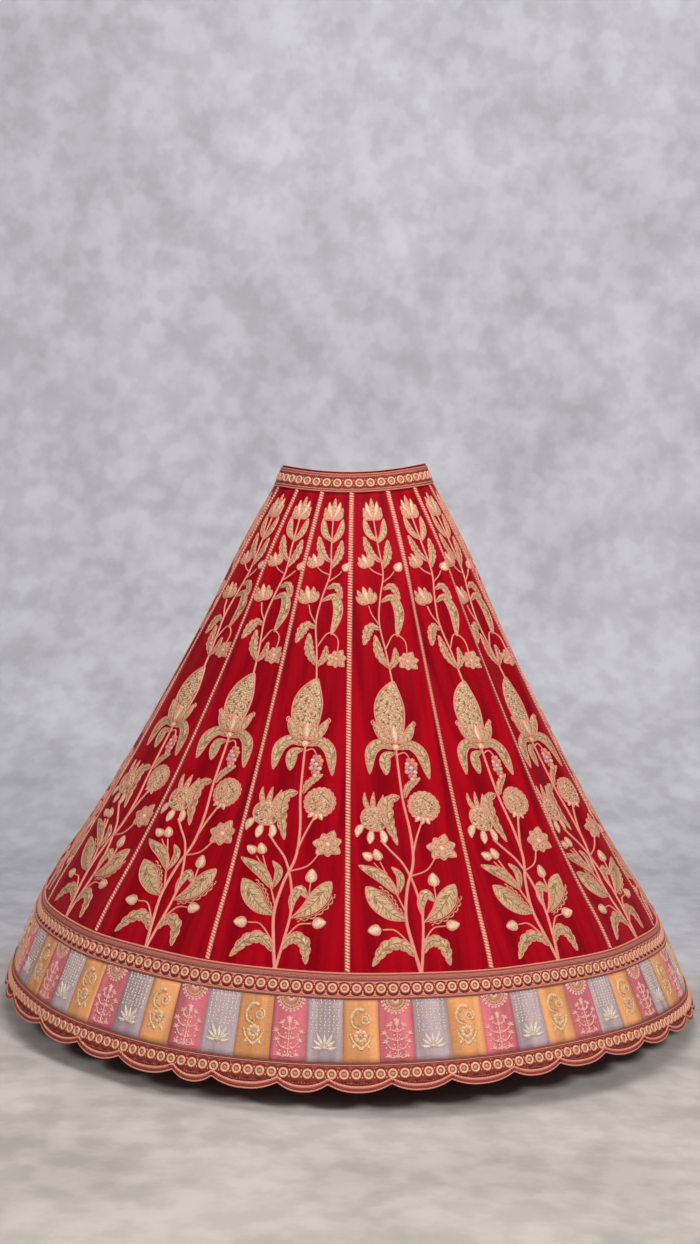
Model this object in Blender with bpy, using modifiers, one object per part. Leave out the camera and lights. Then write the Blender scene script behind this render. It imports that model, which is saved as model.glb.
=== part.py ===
"""A bridal lehenga skirt as it is worn: sixteen flared kalis hung from a fitted waistband.

The seams between the kalis are covered with braid, and the lower edge carries a border of ring
lace, pieced patchwork and a scalloped ring-lace hem with a bound edge.

Every point of the cloth is named by two numbers. "across" counts kalis round the body, from 0 at
the centre back seam towards +X, to 16 back at that seam. "height" is metres above the level hem.
The waist is at the world's origin, the back of the skirt faces -Y and the body is upright along Z.
"""

import math

import bmesh
import bpy
from mathutils import Vector

# Driving dimensions, in metres unless the name says degrees.
WAIST_HEIGHT = 1.010
WAISTBAND_BOTTOM = 0.990
WAISTBAND_TOP = 1.030
WAISTBAND_SIDE_RISE = 0.018
BORDER_TOP = 0.182
PATCHWORK_TOP = 0.141
PATCHWORK_BOTTOM = 0.047
KALI_LOWER_EDGE = 0.017
SCALLOP_LOWEST = 0.0036
SCALLOP_DEPTH = 0.0118
HEM_TILT = 0.0300
WAIST_LEAN = -0.0225
WAIST_TILT = 0.0420

KALI_COUNT = 16
SCALLOP_COUNT = 42

# Cloth walls and the gaps between pieces.
GAP = 0.0003
SEAM_GAP = 0.0010
KALI_WALL = 0.0016
BRAID_WALL = 0.0018
BRAID_WIDTH = 0.0085
WAISTBAND_WALL = 0.0020
LACE_WALL = 0.0012
PATCHWORK_WALL = 0.0012
HEM_BAND_WALL = 0.0012
BINDING_WALL = 0.0012
BINDING_WIDTH = 0.0055

# How finely the cloth is divided.
KALI_COLUMNS = 4
SCALLOP_COLUMNS = 3
MERGE = 0.00002
STEP = 0.0005

# The skirt's round section at each height: half its width, and how deep it is for its width.
SECTIONS = (
    # height, half_width, depth_ratio
    (0.000, 0.6973, 1.00),
    (0.170, 0.6210, 1.00),
    (0.300, 0.5390, 1.00),
    (0.450, 0.4510, 1.00),
    (0.600, 0.3685, 1.00),
    (0.750, 0.2915, 0.98),
    (0.850, 0.2410, 0.94),
    (0.930, 0.1960, 0.86),
    (0.990, 0.1600, 0.79),
    (1.030, 0.1425, 0.78),
)

# Heights of the kalis' rows of points. The border's edges are among them.
KALI_ROWS = (
    KALI_LOWER_EDGE, PATCHWORK_BOTTOM, PATCHWORK_TOP, BORDER_TOP,
    0.26, 0.36, 0.46, 0.56, 0.66, 0.75, 0.83, 0.89, 0.94, WAISTBAND_BOTTOM,
)

# How far each seam strays from an even share of the round, in degrees.
SEAM_DRIFTS = (
    # seam, at_waist, at_hem
    (0, -1.6, -0.3),
    (1, 2.0, 0.0),
    (2, 3.0, 4.6),
    (3, 2.0, 4.0),
    (4, 0.0, 1.0),
    (5, -1.0, -1.5),
    (6, 0.0, -2.0),
    (7, 1.0, 0.0),
    (8, 0.0, 0.5),
    (9, -1.0, 0.0),
    (10, 0.0, 2.0),
    (11, 1.0, 1.5),
    (12, 0.0, -1.0),
    (13, -1.0, -4.0),
    (14, 1.5, -4.4),
    (15, 0.0, -1.3),
)

# The stiff braided seams stand out, and the kalis sink in between them: how far, at each height.
KALI_HOLLOWS = (
    # height, in
    (0.00, 0.0015),
    (0.17, 0.0025),
    (0.45, 0.0045),
    (0.75, 0.0040),
    (0.93, 0.0015),
    (1.02, 0.0000),
)

# Long soft folds. A negative depth is a trough.
FOLDS = (
    # across, top, bottom, half_width in kalis, depth
    (0.10, 0.97, 0.20, 0.50, -0.0060),
    (0.85, 0.90, 0.10, 0.45, 0.0050),
    (1.25, 0.95, 0.30, 0.40, -0.0065),
    (1.80, 0.85, 0.05, 0.50, 0.0060),
    (2.30, 0.93, 0.22, 0.40, -0.0070),
    (3.10, 0.88, 0.08, 0.55, 0.0060),
    (4.20, 0.90, 0.15, 0.50, -0.0070),
    (5.30, 0.94, 0.25, 0.50, -0.0060),
    (6.40, 0.85, 0.10, 0.60, 0.0065),
    (7.60, 0.95, 0.20, 0.50, -0.0065),
    (8.70, 0.90, 0.10, 0.50, 0.0055),
    (9.80, 0.94, 0.18, 0.55, -0.0070),
    (11.10, 0.86, 0.06, 0.60, 0.0060),
    (12.20, 0.93, 0.20, 0.50, -0.0065),
    (13.20, 0.88, 0.12, 0.50, 0.0055),
    (13.80, 0.92, 0.25, 0.40, -0.0060),
    (14.70, 0.90, 0.08, 0.45, -0.0060),
    (15.30, 0.92, 0.12, 0.45, 0.0050),
)

# The hem rises and falls round the body, and less and less so above it.
HEM_WAVES = (
    # waves_round, sine, cosine
    (1, 0.0200, 0.0010),
    (2, 0.0059, 0.0043),
    (3, 0.0072, -0.0012),
    (4, -0.0012, -0.0034),
)
HEM_WAVE_REACH = 0.45

# The scallops aren't quite alike in width. These cusps between them are in degrees from the
# centre back; the rest are spread over the front with a little sway.
BACK_CUSPS = (-67.9, -54.5, -43.9, -35.2, -25.6, -19.5, -10.0, -3.0, 5.7, 14.1, 23.4, 31.1,
              40.0, 49.4, 58.3)
SCALLOP_SWAY = 0.13
SCALLOP_SWAY_RATE = 2.4
SCALLOP_ROUNDNESS = 2.3

CRIMSON = (0.480, 0.004, 0.018, 1.0)
MAROON_LACE = (0.330, 0.060, 0.050, 1.0)
ROSE_GOLD = (0.720, 0.330, 0.240, 1.0)
PATCH_ORANGE = (0.800, 0.340, 0.120, 1.0)


def smooth_table(rows, height, column):
    """Read a table at a height, with a smooth curve through its rows."""
    last = len(rows) - 2
    index = 0
    while index < last and height > rows[index + 1][0]:
        index += 1

    def slope(at):
        low = max(at - 1, 0)
        high = min(at + 1, len(rows) - 1)
        return (rows[high][column] - rows[low][column]) / (rows[high][0] - rows[low][0])

    span = rows[index + 1][0] - rows[index][0]
    part = (height - rows[index][0]) / span
    start = rows[index][column]
    change = rows[index + 1][column] - start
    bend_in = span * slope(index)
    bend_out = span * slope(index + 1)
    curve = part * part * (3.0 - 2.0 * part)
    return (start + change * curve
            + bend_in * part * (1.0 - part) ** 2
            - bend_out * part * part * (1.0 - part))


def soft_step(value):
    """Rise smoothly from 0 to 1."""
    value = min(max(value, 0.0), 1.0)
    return value * value * (3.0 - 2.0 * value)


def seam_angle(seam, height):
    """Angle of a seam round the body, in radians, from the centre back."""
    _, at_waist, at_hem = SEAM_DRIFTS[seam % KALI_COUNT]
    share = height / WAIST_HEIGHT
    drift = at_hem + (at_waist - at_hem) * share
    return math.radians(seam * 360.0 / KALI_COUNT + drift)


def angle_at(across, height):
    """Angle round the body of a place counted in kalis."""
    seam = math.floor(across)
    start = seam_angle(seam, height)
    end = seam_angle(seam + 1, height)
    return start + (end - start) * (across - seam)


def fold_depth(across, height):
    """How far the long folds move the cloth out."""
    total = 0.0
    for place, top, bottom, half_width, depth in FOLDS:
        away = (across - place + KALI_COUNT / 2) % KALI_COUNT - KALI_COUNT / 2
        along = soft_step((top - height) / 0.25) * soft_step((height - bottom) / 0.20)
        total += depth * along * math.exp(-(away / half_width) ** 2)
    return total


def hem_wave(angle, height):
    """How far the hem's waves lift the cloth."""
    lift = sum(sine * math.sin(waves * angle) + cosine * math.cos(waves * angle)
               for waves, sine, cosine in HEM_WAVES)
    fade = min(max(1.0 - height / HEM_WAVE_REACH, 0.0), 1.1)
    return lift * fade * fade


def skirt_point(across, height):
    """A point of the kalis' outer face."""
    angle = angle_at(across, height)
    half_width = smooth_table(SECTIONS, height, 1)
    depth_ratio = smooth_table(SECTIONS, height, 2)
    hollow = smooth_table(KALI_HOLLOWS, height, 1) * math.sin(math.pi * across) ** 2
    out = fold_depth(across, height) - hollow
    below_waist = WAIST_HEIGHT - height
    x = (half_width + out) * math.sin(angle) - WAIST_LEAN * below_waist
    y = -(half_width * depth_ratio + out) * math.cos(angle)
    side_rise = WAISTBAND_SIDE_RISE * math.sin(angle) ** 2 * soft_step((height - 0.78) / 0.25)
    waist_tilt = WAIST_TILT * x * soft_step((height - 0.60) / 0.40)
    lift = hem_wave(angle, height) + side_rise + waist_tilt
    lift -= HEM_TILT * x * max(below_waist, 0.0)
    return Vector((x, y, lift - below_waist))


def outward(across, height):
    """Outward direction of the kalis' outer face."""
    round_way = skirt_point(across + STEP, height) - skirt_point(across - STEP, height)
    up_way = skirt_point(across, height + STEP) - skirt_point(across, height - STEP)
    return round_way.cross(up_way).normalized()


def on_panels(across, height, out):
    """A point on the kalis' flat facets, moved out, so that a piece lies evenly on them."""
    column = across * KALI_COLUMNS
    left = math.floor(column + MERGE) / KALI_COLUMNS
    part = max(column - left * KALI_COLUMNS, 0.0)
    start = skirt_point(left, height)
    if part > MERGE:
        start = start.lerp(skirt_point(left + 1.0 / KALI_COLUMNS, height), part)
    return start + outward(across, height) * out


def scallop_cusp(number):
    """Angle of a cusp between two scallops, in radians."""
    turns, place = divmod(number, SCALLOP_COUNT)
    if place < len(BACK_CUSPS):
        degrees = BACK_CUSPS[place]
    else:
        step = place - len(BACK_CUSPS) + 1
        spread = 360.0 + BACK_CUSPS[0] - BACK_CUSPS[-1]
        sway = SCALLOP_SWAY * math.sin(SCALLOP_SWAY_RATE * step)
        degrees = BACK_CUSPS[-1] + (step + sway) * spread / (SCALLOP_COUNT - place + step)
    return math.radians(degrees + 360.0 * turns)


def scallop_edge(angle):
    """Height of the scalloped edge at an angle, highest at a cusp."""
    number = math.floor((math.degrees(angle) - BACK_CUSPS[0]) * SCALLOP_COUNT / 360.0)
    while scallop_cusp(number) > angle:
        number -= 1
    while scallop_cusp(number + 1) <= angle:
        number += 1
    start = scallop_cusp(number)
    part = (angle - start) / (scallop_cusp(number + 1) - start)
    return SCALLOP_LOWEST + SCALLOP_DEPTH * abs(2.0 * part - 1.0) ** SCALLOP_ROUNDNESS


def across_of(angle, height):
    """Place, counted in kalis, of an angle round the body."""
    turns = math.floor((angle - seam_angle(0, height)) / (2.0 * math.pi))
    angle -= turns * 2.0 * math.pi
    seam = 0
    while seam_angle(seam + 1, height) <= angle:
        seam += 1
    start = seam_angle(seam, height)
    return seam + (angle - start) / (seam_angle(seam + 1, height) - start)


def hem_columns():
    """Places round the hem where a scallop or a kali's facet has a column of points."""
    facets = [index / KALI_COLUMNS for index in range(KALI_COUNT * KALI_COLUMNS)]
    places = list(facets)
    for number in range(SCALLOP_COUNT):
        start = scallop_cusp(number)
        end = scallop_cusp(number + 1)
        for index in range(SCALLOP_COLUMNS):
            angle = start + (end - start) * index / SCALLOP_COLUMNS
            place = across_of(angle, 0.0)
            nearest = round(place * KALI_COLUMNS) / KALI_COLUMNS
            if index == 0 or abs(place - nearest) > 0.03:
                places.append(place)
    places.sort()
    return places + [float(KALI_COUNT)]


def material(name, colour, roughness, metallic=0.0):
    """A plain finish."""
    made = bpy.data.materials.new(name)
    made.use_nodes = True
    shader = made.node_tree.nodes["Principled BSDF"]
    shader.inputs["Base Color"].default_value = colour
    shader.inputs["Roughness"].default_value = roughness
    shader.inputs["Metallic"].default_value = metallic
    made.diffuse_color = colour
    return made


def cloth(name, finish, columns, rows, place, wall, side):
    """A sheet of cloth: a grid put in place point by point, then given its wall.

    place takes a column number and a row number. side is 1 for a wall that grows outwards from
    the points, and -1 for one that grows inwards.
    """
    mesh = bpy.data.meshes.new(name)
    grid = bmesh.new()
    bmesh.ops.create_grid(grid, x_segments=columns, y_segments=rows, size=0.5)
    for vertex in grid.verts:
        column = round((vertex.co.x + 0.5) * columns)
        row = round((vertex.co.y + 0.5) * rows)
        vertex.co = place(column, row)
    bmesh.ops.remove_doubles(grid, verts=grid.verts, dist=MERGE)
    grid.to_mesh(mesh)
    grid.free()
    mesh.materials.append(finish)
    piece = bpy.data.objects.new(name, mesh)
    garment.objects.link(piece)
    thicken = piece.modifiers.new("Wall", "SOLIDIFY")
    thicken.thickness = wall
    thicken.offset = side
    thicken.use_even_offset = True
    return piece


def make_kali(number, finish):
    """One flared panel, from the border's hidden edge up to the waistband."""

    def place(column, row):
        height = KALI_ROWS[row]
        if row == len(KALI_ROWS) - 1:
            height -= GAP
        across = number + column / KALI_COLUMNS
        kali_width = (skirt_point(number + 1, height) - skirt_point(number, height)).length
        seam_gap = SEAM_GAP / 2 / kali_width
        if column == 0:
            across += seam_gap
        if column == KALI_COLUMNS:
            across -= seam_gap
        return skirt_point(across, height)

    return cloth(f"kali_{number + 1:02d}", finish, KALI_COLUMNS, len(KALI_ROWS) - 1, place,
                 KALI_WALL, -1)


def make_seam_braid(seam, finish):
    """The braid that covers one seam, from the border up to the waistband."""
    rows = [height for height in KALI_ROWS if height >= BORDER_TOP]

    def place(column, row):
        height = rows[row]
        if row == 0:
            height += GAP
        if row == len(rows) - 1:
            height -= GAP
        kali_width = (skirt_point(seam + 0.5, height) - skirt_point(seam - 0.5, height)).length
        across = seam + (column - 1) * 0.5 * BRAID_WIDTH / kali_width
        return on_panels(across, height, GAP)

    return cloth(f"seam_braid_{seam + 1:02d}", finish, 2, len(rows) - 1, place, BRAID_WALL, 1)


def make_band(name, finish, edges, wall, out):
    """A plain band round the skirt between two heights, lying on the kalis."""
    bottom, top = edges

    def place(column, row):
        across = column / KALI_COLUMNS
        return on_panels(across, top - GAP if row else bottom + GAP, out)

    return cloth(name, finish, KALI_COUNT * KALI_COLUMNS, 1, place, wall, 1)


def make_scalloped_band(name, finish, upper_edge, wall, out):
    """A band round the hem whose lower edge is scalloped. upper_edge takes the lower height."""
    places = hem_columns()

    def place(column, row):
        across = places[column % (len(places) - 1)]
        edge = scallop_edge(angle_at(across, 0.0))
        height = upper_edge(edge) if row else edge
        return on_panels(across, height, out)

    return cloth(name, finish, len(places) - 1, 1, place, wall, 1)


def make_waistband(finish, lace_finish):
    """The fitted band, and the ring lace that covers it."""
    make_band("waistband", finish, (WAISTBAND_BOTTOM, WAISTBAND_TOP), WAISTBAND_WALL,
              -WAISTBAND_WALL)
    make_band("waist_ring_lace", lace_finish, (WAISTBAND_BOTTOM, WAISTBAND_TOP), LACE_WALL, GAP)


def make_border(lace_finish, patch_finish, edging_finish):
    """The three bands of the border and the binding of the scalloped edge."""
    make_band("border_ring_lace", lace_finish, (PATCHWORK_TOP, BORDER_TOP), LACE_WALL, GAP)
    make_band("patchwork_band", patch_finish, (PATCHWORK_BOTTOM, PATCHWORK_TOP), PATCHWORK_WALL,
              GAP)
    make_scalloped_band("scalloped_hem_lace", lace_finish,
                        lambda edge: PATCHWORK_BOTTOM - GAP, HEM_BAND_WALL, GAP)
    make_scalloped_band("scallop_binding", edging_finish,
                        lambda edge: edge + BINDING_WIDTH, BINDING_WALL,
                        GAP + HEM_BAND_WALL + GAP)


for old in list(bpy.data.objects):
    bpy.data.objects.remove(old, do_unlink=True)

garment = bpy.data.collections.new("Lehenga skirt")
bpy.context.scene.collection.children.link(garment)

crimson_silk = material("Crimson silk", CRIMSON, 0.45)
ring_lace = material("Ring lace", MAROON_LACE, 0.55, 0.2)
rose_gold_braid = material("Rose gold braid", ROSE_GOLD, 0.45, 0.3)
patchwork = material("Patchwork silk", PATCH_ORANGE, 0.55)

make_waistband(crimson_silk, ring_lace)
for count in range(KALI_COUNT):
    make_kali(count, crimson_silk)
    make_seam_braid(count, rose_gold_braid)
make_border(ring_lace, patchwork, rose_gold_braid)
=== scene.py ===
"""The looks of a bridal lehenga skirt, laid out as an add-on and run as a script.

Cloth is placed by two numbers. "across" counts kalis round the body from the centre back seam
towards +X, and "height" is metres above the level hem. Needlework is drawn flat, in centimetres,
and then laid on the cloth.
"""

import math

import bmesh
import bpy
import numpy as np
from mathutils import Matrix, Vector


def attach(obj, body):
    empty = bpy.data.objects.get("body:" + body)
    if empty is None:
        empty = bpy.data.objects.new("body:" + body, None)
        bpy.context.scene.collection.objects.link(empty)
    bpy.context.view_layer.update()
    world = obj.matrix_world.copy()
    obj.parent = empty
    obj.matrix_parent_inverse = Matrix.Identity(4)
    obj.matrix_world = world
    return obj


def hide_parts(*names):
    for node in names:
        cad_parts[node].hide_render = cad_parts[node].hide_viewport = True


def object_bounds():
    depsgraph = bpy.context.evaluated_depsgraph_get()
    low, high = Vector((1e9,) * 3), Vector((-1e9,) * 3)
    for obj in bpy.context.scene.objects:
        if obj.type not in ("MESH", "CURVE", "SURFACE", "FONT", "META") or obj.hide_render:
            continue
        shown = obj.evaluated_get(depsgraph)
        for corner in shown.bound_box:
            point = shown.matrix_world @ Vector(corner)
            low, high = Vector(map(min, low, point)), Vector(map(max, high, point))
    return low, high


bl_info = {
    "name": "Lehenga Skirt",
    "version": (1, 0, 0),
    "blender": (4, 5, 0),
    "location": "3D View > Sidebar > Lehenga",
    "description": "Makes a sixteen-kali bridal lehenga skirt with raised needlework",
    "category": "Object",
}

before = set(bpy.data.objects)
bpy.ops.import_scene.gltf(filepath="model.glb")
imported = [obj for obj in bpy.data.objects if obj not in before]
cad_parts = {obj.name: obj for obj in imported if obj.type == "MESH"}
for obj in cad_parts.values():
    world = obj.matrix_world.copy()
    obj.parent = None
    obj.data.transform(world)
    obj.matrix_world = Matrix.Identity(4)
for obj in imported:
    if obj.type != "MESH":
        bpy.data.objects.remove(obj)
CAD_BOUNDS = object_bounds()

BODY = "root"
CM = 0.01
FULL_TURN = 2 * math.pi
HANDS = (-1, 1)

# The cut of the skirt, in metres above the hem.
WAIST_HEIGHT = 1.01
WAISTBAND_BOTTOM = 0.99
WAISTBAND_TOP = 1.03
WAISTBAND_SIDE_RISE = 0.018
BORDER_TOP = 0.182
PATCHWORK_TOP = 0.141
PATCHWORK_BOTTOM = 0.047
KALI_LOWER_EDGE = 0.017
SCALLOP_DEPTH = 0.0118
SCALLOP_LOWEST = 0.0036
HEM_TILT = 0.03
WAIST_LEAN = -0.0225
WAIST_TILT = 0.042
KALI_COUNT = 16
SCALLOP_COUNT = 42
BACK_CUSP_DEGREES = (-67.9, -54.5, -43.9, -35.2, -25.6, -19.5, -10, -3, 5.7, 14.1, 23.4,
                     31.1, 40, 49.4, 58.3)
SCALLOP_SWAY = 0.13
SCALLOP_SWAY_RATE = 2.4
SCALLOP_ROUNDNESS = 2.3
PATCH_KINDS = ("orange", "pink", "lilac")
PATCH_TRIPLETS = 23
FIRST_PATCH_DEGREES = -1.1
PATCH_UV_STEP = 0.28
HEM_WAVE_REACH = 0.45

SECTIONS = np.array([
    # height, half_width, depth_ratio
    (0, 0.6973, 1), (0.17, 0.621, 1), (0.3, 0.539, 1), (0.45, 0.451, 1),
    (0.6, 0.3685, 1), (0.75, 0.2915, 0.98), (0.85, 0.241, 0.94), (0.93, 0.196, 0.86),
    (0.99, 0.16, 0.79), (1.03, 0.1425, 0.78),
])
SEAM_DRIFTS = np.array([
    # at_waist, at_hem, in degrees, for each seam from the centre back
    (-1.6, -0.3), (2, 0), (3, 4.6), (2, 4), (0, 1), (-1, -1.5), (0, -2),
    (1, 0), (0, 0.5), (-1, 0), (0, 2), (1, 1.5), (0, -1), (-1, -4),
    (1.5, -4.4), (0, -1.3),
])
KALI_HOLLOWS = np.array([
    # height, in
    (0, 0.0015), (0.17, 0.0025), (0.45, 0.0045), (0.75, 0.004), (0.93, 0.0015), (1.02, 0),
])
FOLDS = (
    # across, top, bottom, half_width in kalis, depth
    (0.1, 0.97, 0.2, 0.5, -0.006), (0.85, 0.9, 0.1, 0.45, 0.005), (1.25, 0.95, 0.3, 0.4, -0.0065),
    (1.8, 0.85, 0.05, 0.5, 0.006), (2.3, 0.93, 0.22, 0.4, -0.007), (3.1, 0.88, 0.08, 0.55, 0.006),
    (4.2, 0.9, 0.15, 0.5, -0.007), (5.3, 0.94, 0.25, 0.5, -0.006), (6.4, 0.85, 0.1, 0.6, 0.0065),
    (7.6, 0.95, 0.2, 0.5, -0.0065), (8.7, 0.9, 0.1, 0.5, 0.0055), (9.8, 0.94, 0.18, 0.55, -0.007),
    (11.1, 0.86, 0.06, 0.6, 0.006), (12.2, 0.93, 0.2, 0.5, -0.0065),
    (13.2, 0.88, 0.12, 0.5, 0.0055), (13.8, 0.92, 0.25, 0.4, -0.006),
    (14.7, 0.9, 0.08, 0.45, -0.006), (15.3, 0.92, 0.12, 0.45, 0.005),
)
CREASES = (
    # across, top, bottom, half_width in kalis, depth: finer than the folds
    (0.07, 0.96, 0.26, 0.06, -0.0022), (0.2, 0.7, 0.17, 0.09, -0.0024),
    (0.93, 0.9, 0.25, 0.07, 0.002), (1.1, 0.88, 0.2, 0.08, -0.0026),
    (1.72, 0.6, 0.17, 0.09, -0.0022), (1.9, 0.95, 0.45, 0.07, 0.0022),
    (2.12, 0.92, 0.2, 0.08, -0.0028), (2.8, 0.8, 0.25, 0.1, 0.0024),
    (3.15, 0.9, 0.18, 0.08, -0.0024), (4.1, 0.93, 0.3, 0.08, -0.0024),
    (4.85, 0.75, 0.17, 0.1, 0.0022), (5.15, 0.9, 0.22, 0.08, -0.0026),
    (6.1, 0.85, 0.19, 0.09, -0.0024), (7.15, 0.92, 0.25, 0.08, -0.0026),
    (7.8, 0.7, 0.17, 0.1, 0.0022), (8.2, 0.94, 0.3, 0.08, -0.0026),
    (9.1, 0.88, 0.2, 0.09, -0.0024), (10.15, 0.9, 0.24, 0.08, -0.0026),
    (10.85, 0.75, 0.18, 0.1, 0.0022), (11.9, 0.92, 0.22, 0.08, -0.0024),
    (12.85, 0.86, 0.2, 0.09, -0.0026), (13.88, 0.9, 0.24, 0.08, -0.0026),
    (14.15, 0.8, 0.18, 0.09, 0.0022), (14.88, 0.92, 0.22, 0.08, -0.0028),
    (15.12, 0.7, 0.3, 0.09, 0.002), (15.8, 0.9, 0.2, 0.08, -0.0026),
    (15.94, 0.95, 0.3, 0.05, -0.002),
)
HEM_WAVES = (
    # waves_round, sine, cosine
    (1, 0.02, 0.001), (2, 0.0059, 0.0043), (3, 0.0072, -0.0012), (4, -0.0012, -0.0034),
)

# Cloth walls and the relief of the cloth, in metres, and how finely the cloth is divided.
SILK_WALL = 0.0014
LAID_ON = 0.0003
KALI_COLUMNS = 22
KALI_ROWS = 96
PATCH_COLUMNS = 9
PATCH_ROWS = 12
NORMAL_STEP = 0.002
RATE_STEP = 0.05
FOLD_EASE = 0.25
CREASE_EASE = 0.12
CREASE_SHARE = 2.2
SEAM_RIDGE = 0.0025
SEAM_RIDGE_WIDTH = 0.16
SEAM_GAP = 0.0002
WELD = 0.00002
# Where along the height each of these starts, and over how much of it.
RIDGE_START = (BORDER_TOP - 0.02, 0.08)
RIDGE_END = (0.97, -0.15)
SIDE_RISE_START = (0.78, 0.25)
WAIST_TILT_START = (0.6, 0.4)


# ---- the body of the skirt

def parts(count):
    """Evenly spaced numbers from 0 to 1."""
    return np.linspace(0, 1, count)


def stacked(*values):
    """Points or vectors from their parts."""
    return np.stack(np.broadcast_arrays(*values), axis=-1)


def smooth_table(rows, height, column):
    """Read a table at many heights, with a smooth curve through its rows."""
    heights, values = rows[:, 0], rows[:, column]
    number = np.arange(len(rows))
    before, after = np.maximum(number - 1, 0), np.minimum(number + 1, number[-1])
    slopes = (values[after] - values[before]) / (heights[after] - heights[before])
    index = np.clip(np.searchsorted(heights, height) - 1, 0, len(rows) - 2)
    span = heights[index + 1] - heights[index]
    part = (height - heights[index]) / span
    curve = part * part * (3 - 2 * part)
    return (values[index] + (values[index + 1] - values[index]) * curve
            + span * slopes[index] * part * (1 - part) ** 2
            - span * slopes[index + 1] * part * part * (1 - part))


def soft_step(height, start, span):
    """Rise smoothly from 0 to 1 over a span of heights. A span below 0 goes down."""
    value = np.clip((height - start) / span, 0, 1)
    return value * value * (3 - 2 * value)


def seam_angle(seam, height):
    """Angle of a seam round the body, in radians, from the centre back."""
    drifts = SEAM_DRIFTS[np.mod(seam, KALI_COUNT)]
    drift = drifts[..., 1] + (drifts[..., 0] - drifts[..., 1]) * height / WAIST_HEIGHT
    return np.radians(seam * 360 / KALI_COUNT + drift)


def angle_at(across, height):
    """Angle round the body of a place counted in kalis."""
    seam = np.floor(across).astype(int)
    start, end = seam_angle(seam, height), seam_angle(seam + 1, height)
    return start + (end - start) * (across - seam)


def across_of(angle, height):
    """Place, counted in kalis, of an angle round the body."""
    seams = np.arange(-2 * KALI_COUNT, 2 * KALI_COUNT + 1)
    return np.interp(angle, seam_angle(seams, height), seams)


def ridges(table, across, height, ease):
    """How far a table of folds or creases moves the cloth out."""
    total = 0
    for place, top, bottom, half_width, depth in table:
        away = np.mod(across - place + KALI_COUNT / 2, KALI_COUNT) - KALI_COUNT / 2
        along = soft_step(height, top, -ease) * soft_step(height, bottom, 0.8 * ease)
        total = total + depth * along * np.exp(-(away / half_width) ** 2)
    return total


def bare_skirt(across, height):
    """Points of the kalis' outer face."""
    angle = angle_at(across, height)
    half_width, depth_ratio = (smooth_table(SECTIONS, height, column) for column in (1, 2))
    hollow = smooth_table(KALI_HOLLOWS, height, 1) * np.sin(math.pi * across) ** 2
    off_seam = np.abs(across - np.round(across)) / SEAM_RIDGE_WIDTH
    on_silk = soft_step(height, *RIDGE_START) * soft_step(height, *RIDGE_END)
    moved = (ridges(FOLDS, across, height, FOLD_EASE) - hollow
             + CREASE_SHARE * ridges(CREASES, across, height, CREASE_EASE)
             + SEAM_RIDGE * on_silk * np.exp(-off_seam ** 2))
    below_waist = WAIST_HEIGHT - height
    x = (half_width + moved) * np.sin(angle) - WAIST_LEAN * below_waist
    y = -(half_width * depth_ratio + moved) * np.cos(angle)
    side_rise = WAISTBAND_SIDE_RISE * np.sin(angle) ** 2 * soft_step(height, *SIDE_RISE_START)
    wave = sum(sine * np.sin(waves * angle) + cosine * np.cos(waves * angle)
               for waves, sine, cosine in HEM_WAVES)
    fade = np.clip(1 - height / HEM_WAVE_REACH, 0, 1.1) ** 2
    tilt = (WAIST_TILT * soft_step(height, *WAIST_TILT_START)
            - HEM_TILT * np.maximum(below_waist, 0))
    z = wave * fade + side_rise + tilt * x - below_waist
    return stacked(x, y, z)


def outward(across, height):
    """Outward directions of the kalis' outer face."""
    step = NORMAL_STEP
    round_way = bare_skirt(across + step, height) - bare_skirt(across - step, height)
    up_way = bare_skirt(across, height + step) - bare_skirt(across, height - step)
    normal = np.cross(round_way, up_way)
    return normal / np.linalg.norm(normal, axis=-1, keepdims=True)


def skirt(across, height, out=0):
    """Points of the kalis' outer face, moved out by a distance."""
    across, height, out = np.broadcast_arrays(
        *(np.asarray(value, float) for value in (across, height, out)))
    points = bare_skirt(across, height)
    return points + outward(across, height) * out[..., None] if np.any(out) else points


def round_rate(across, height):
    """Metres round the body for one kali, at a place."""
    ends = bare_skirt(across + RATE_STEP, height) - bare_skirt(across - RATE_STEP, height)
    return np.linalg.norm(ends, axis=-1) / (2 * RATE_STEP)


def reach_along(line):
    """Distance along a line of points, from its start."""
    steps = np.linalg.norm(np.diff(line, axis=0), axis=-1)
    return np.concatenate([[0], np.cumsum(steps)])


SLANT_HEIGHTS = np.linspace(-0.02, WAISTBAND_TOP + 0.02, 400)
SLANTS = reach_along(stacked(SLANT_HEIGHTS, smooth_table(SECTIONS, SLANT_HEIGHTS, 1)))


def slant_of(height):
    """Distance up the cloth, in metres, that belongs to a height."""
    return np.interp(height, SLANT_HEIGHTS, SLANTS)


def height_of(slant):
    """Height that belongs to a distance up the cloth."""
    return np.interp(slant, SLANTS, SLANT_HEIGHTS)


def along_cloth(height, way=1):
    """Gives the heights at centimetres along the cloth, up or down from a height."""
    return lambda centimetres: float(height_of(slant_of(height) + way * centimetres * CM))


def scallop_edge(angle):
    """Height of the scalloped edge at an angle."""
    first, last = BACK_CUSP_DEGREES[0], BACK_CUSP_DEGREES[-1]
    numbers = np.arange(1, SCALLOP_COUNT - len(BACK_CUSP_DEGREES) + 1)
    sway = SCALLOP_SWAY * np.sin(SCALLOP_SWAY_RATE * numbers)
    front = last + (numbers + sway) * (360 + first - last) / (len(numbers) + 1)
    cusps = np.concatenate([BACK_CUSP_DEGREES, front, [first + 360]])
    degrees = np.mod(np.degrees(angle) - first, 360) + first
    part = np.mod(np.interp(degrees, cusps, np.arange(len(cusps))), 1)
    return SCALLOP_LOWEST + SCALLOP_DEPTH * np.abs(2 * part - 1) ** SCALLOP_ROUNDNESS


# ---- meshes

def in_scene(name, data):
    """A new object in the scene."""
    thing = bpy.data.objects.new(name, data)
    bpy.context.scene.collection.objects.link(thing)
    return thing


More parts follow.
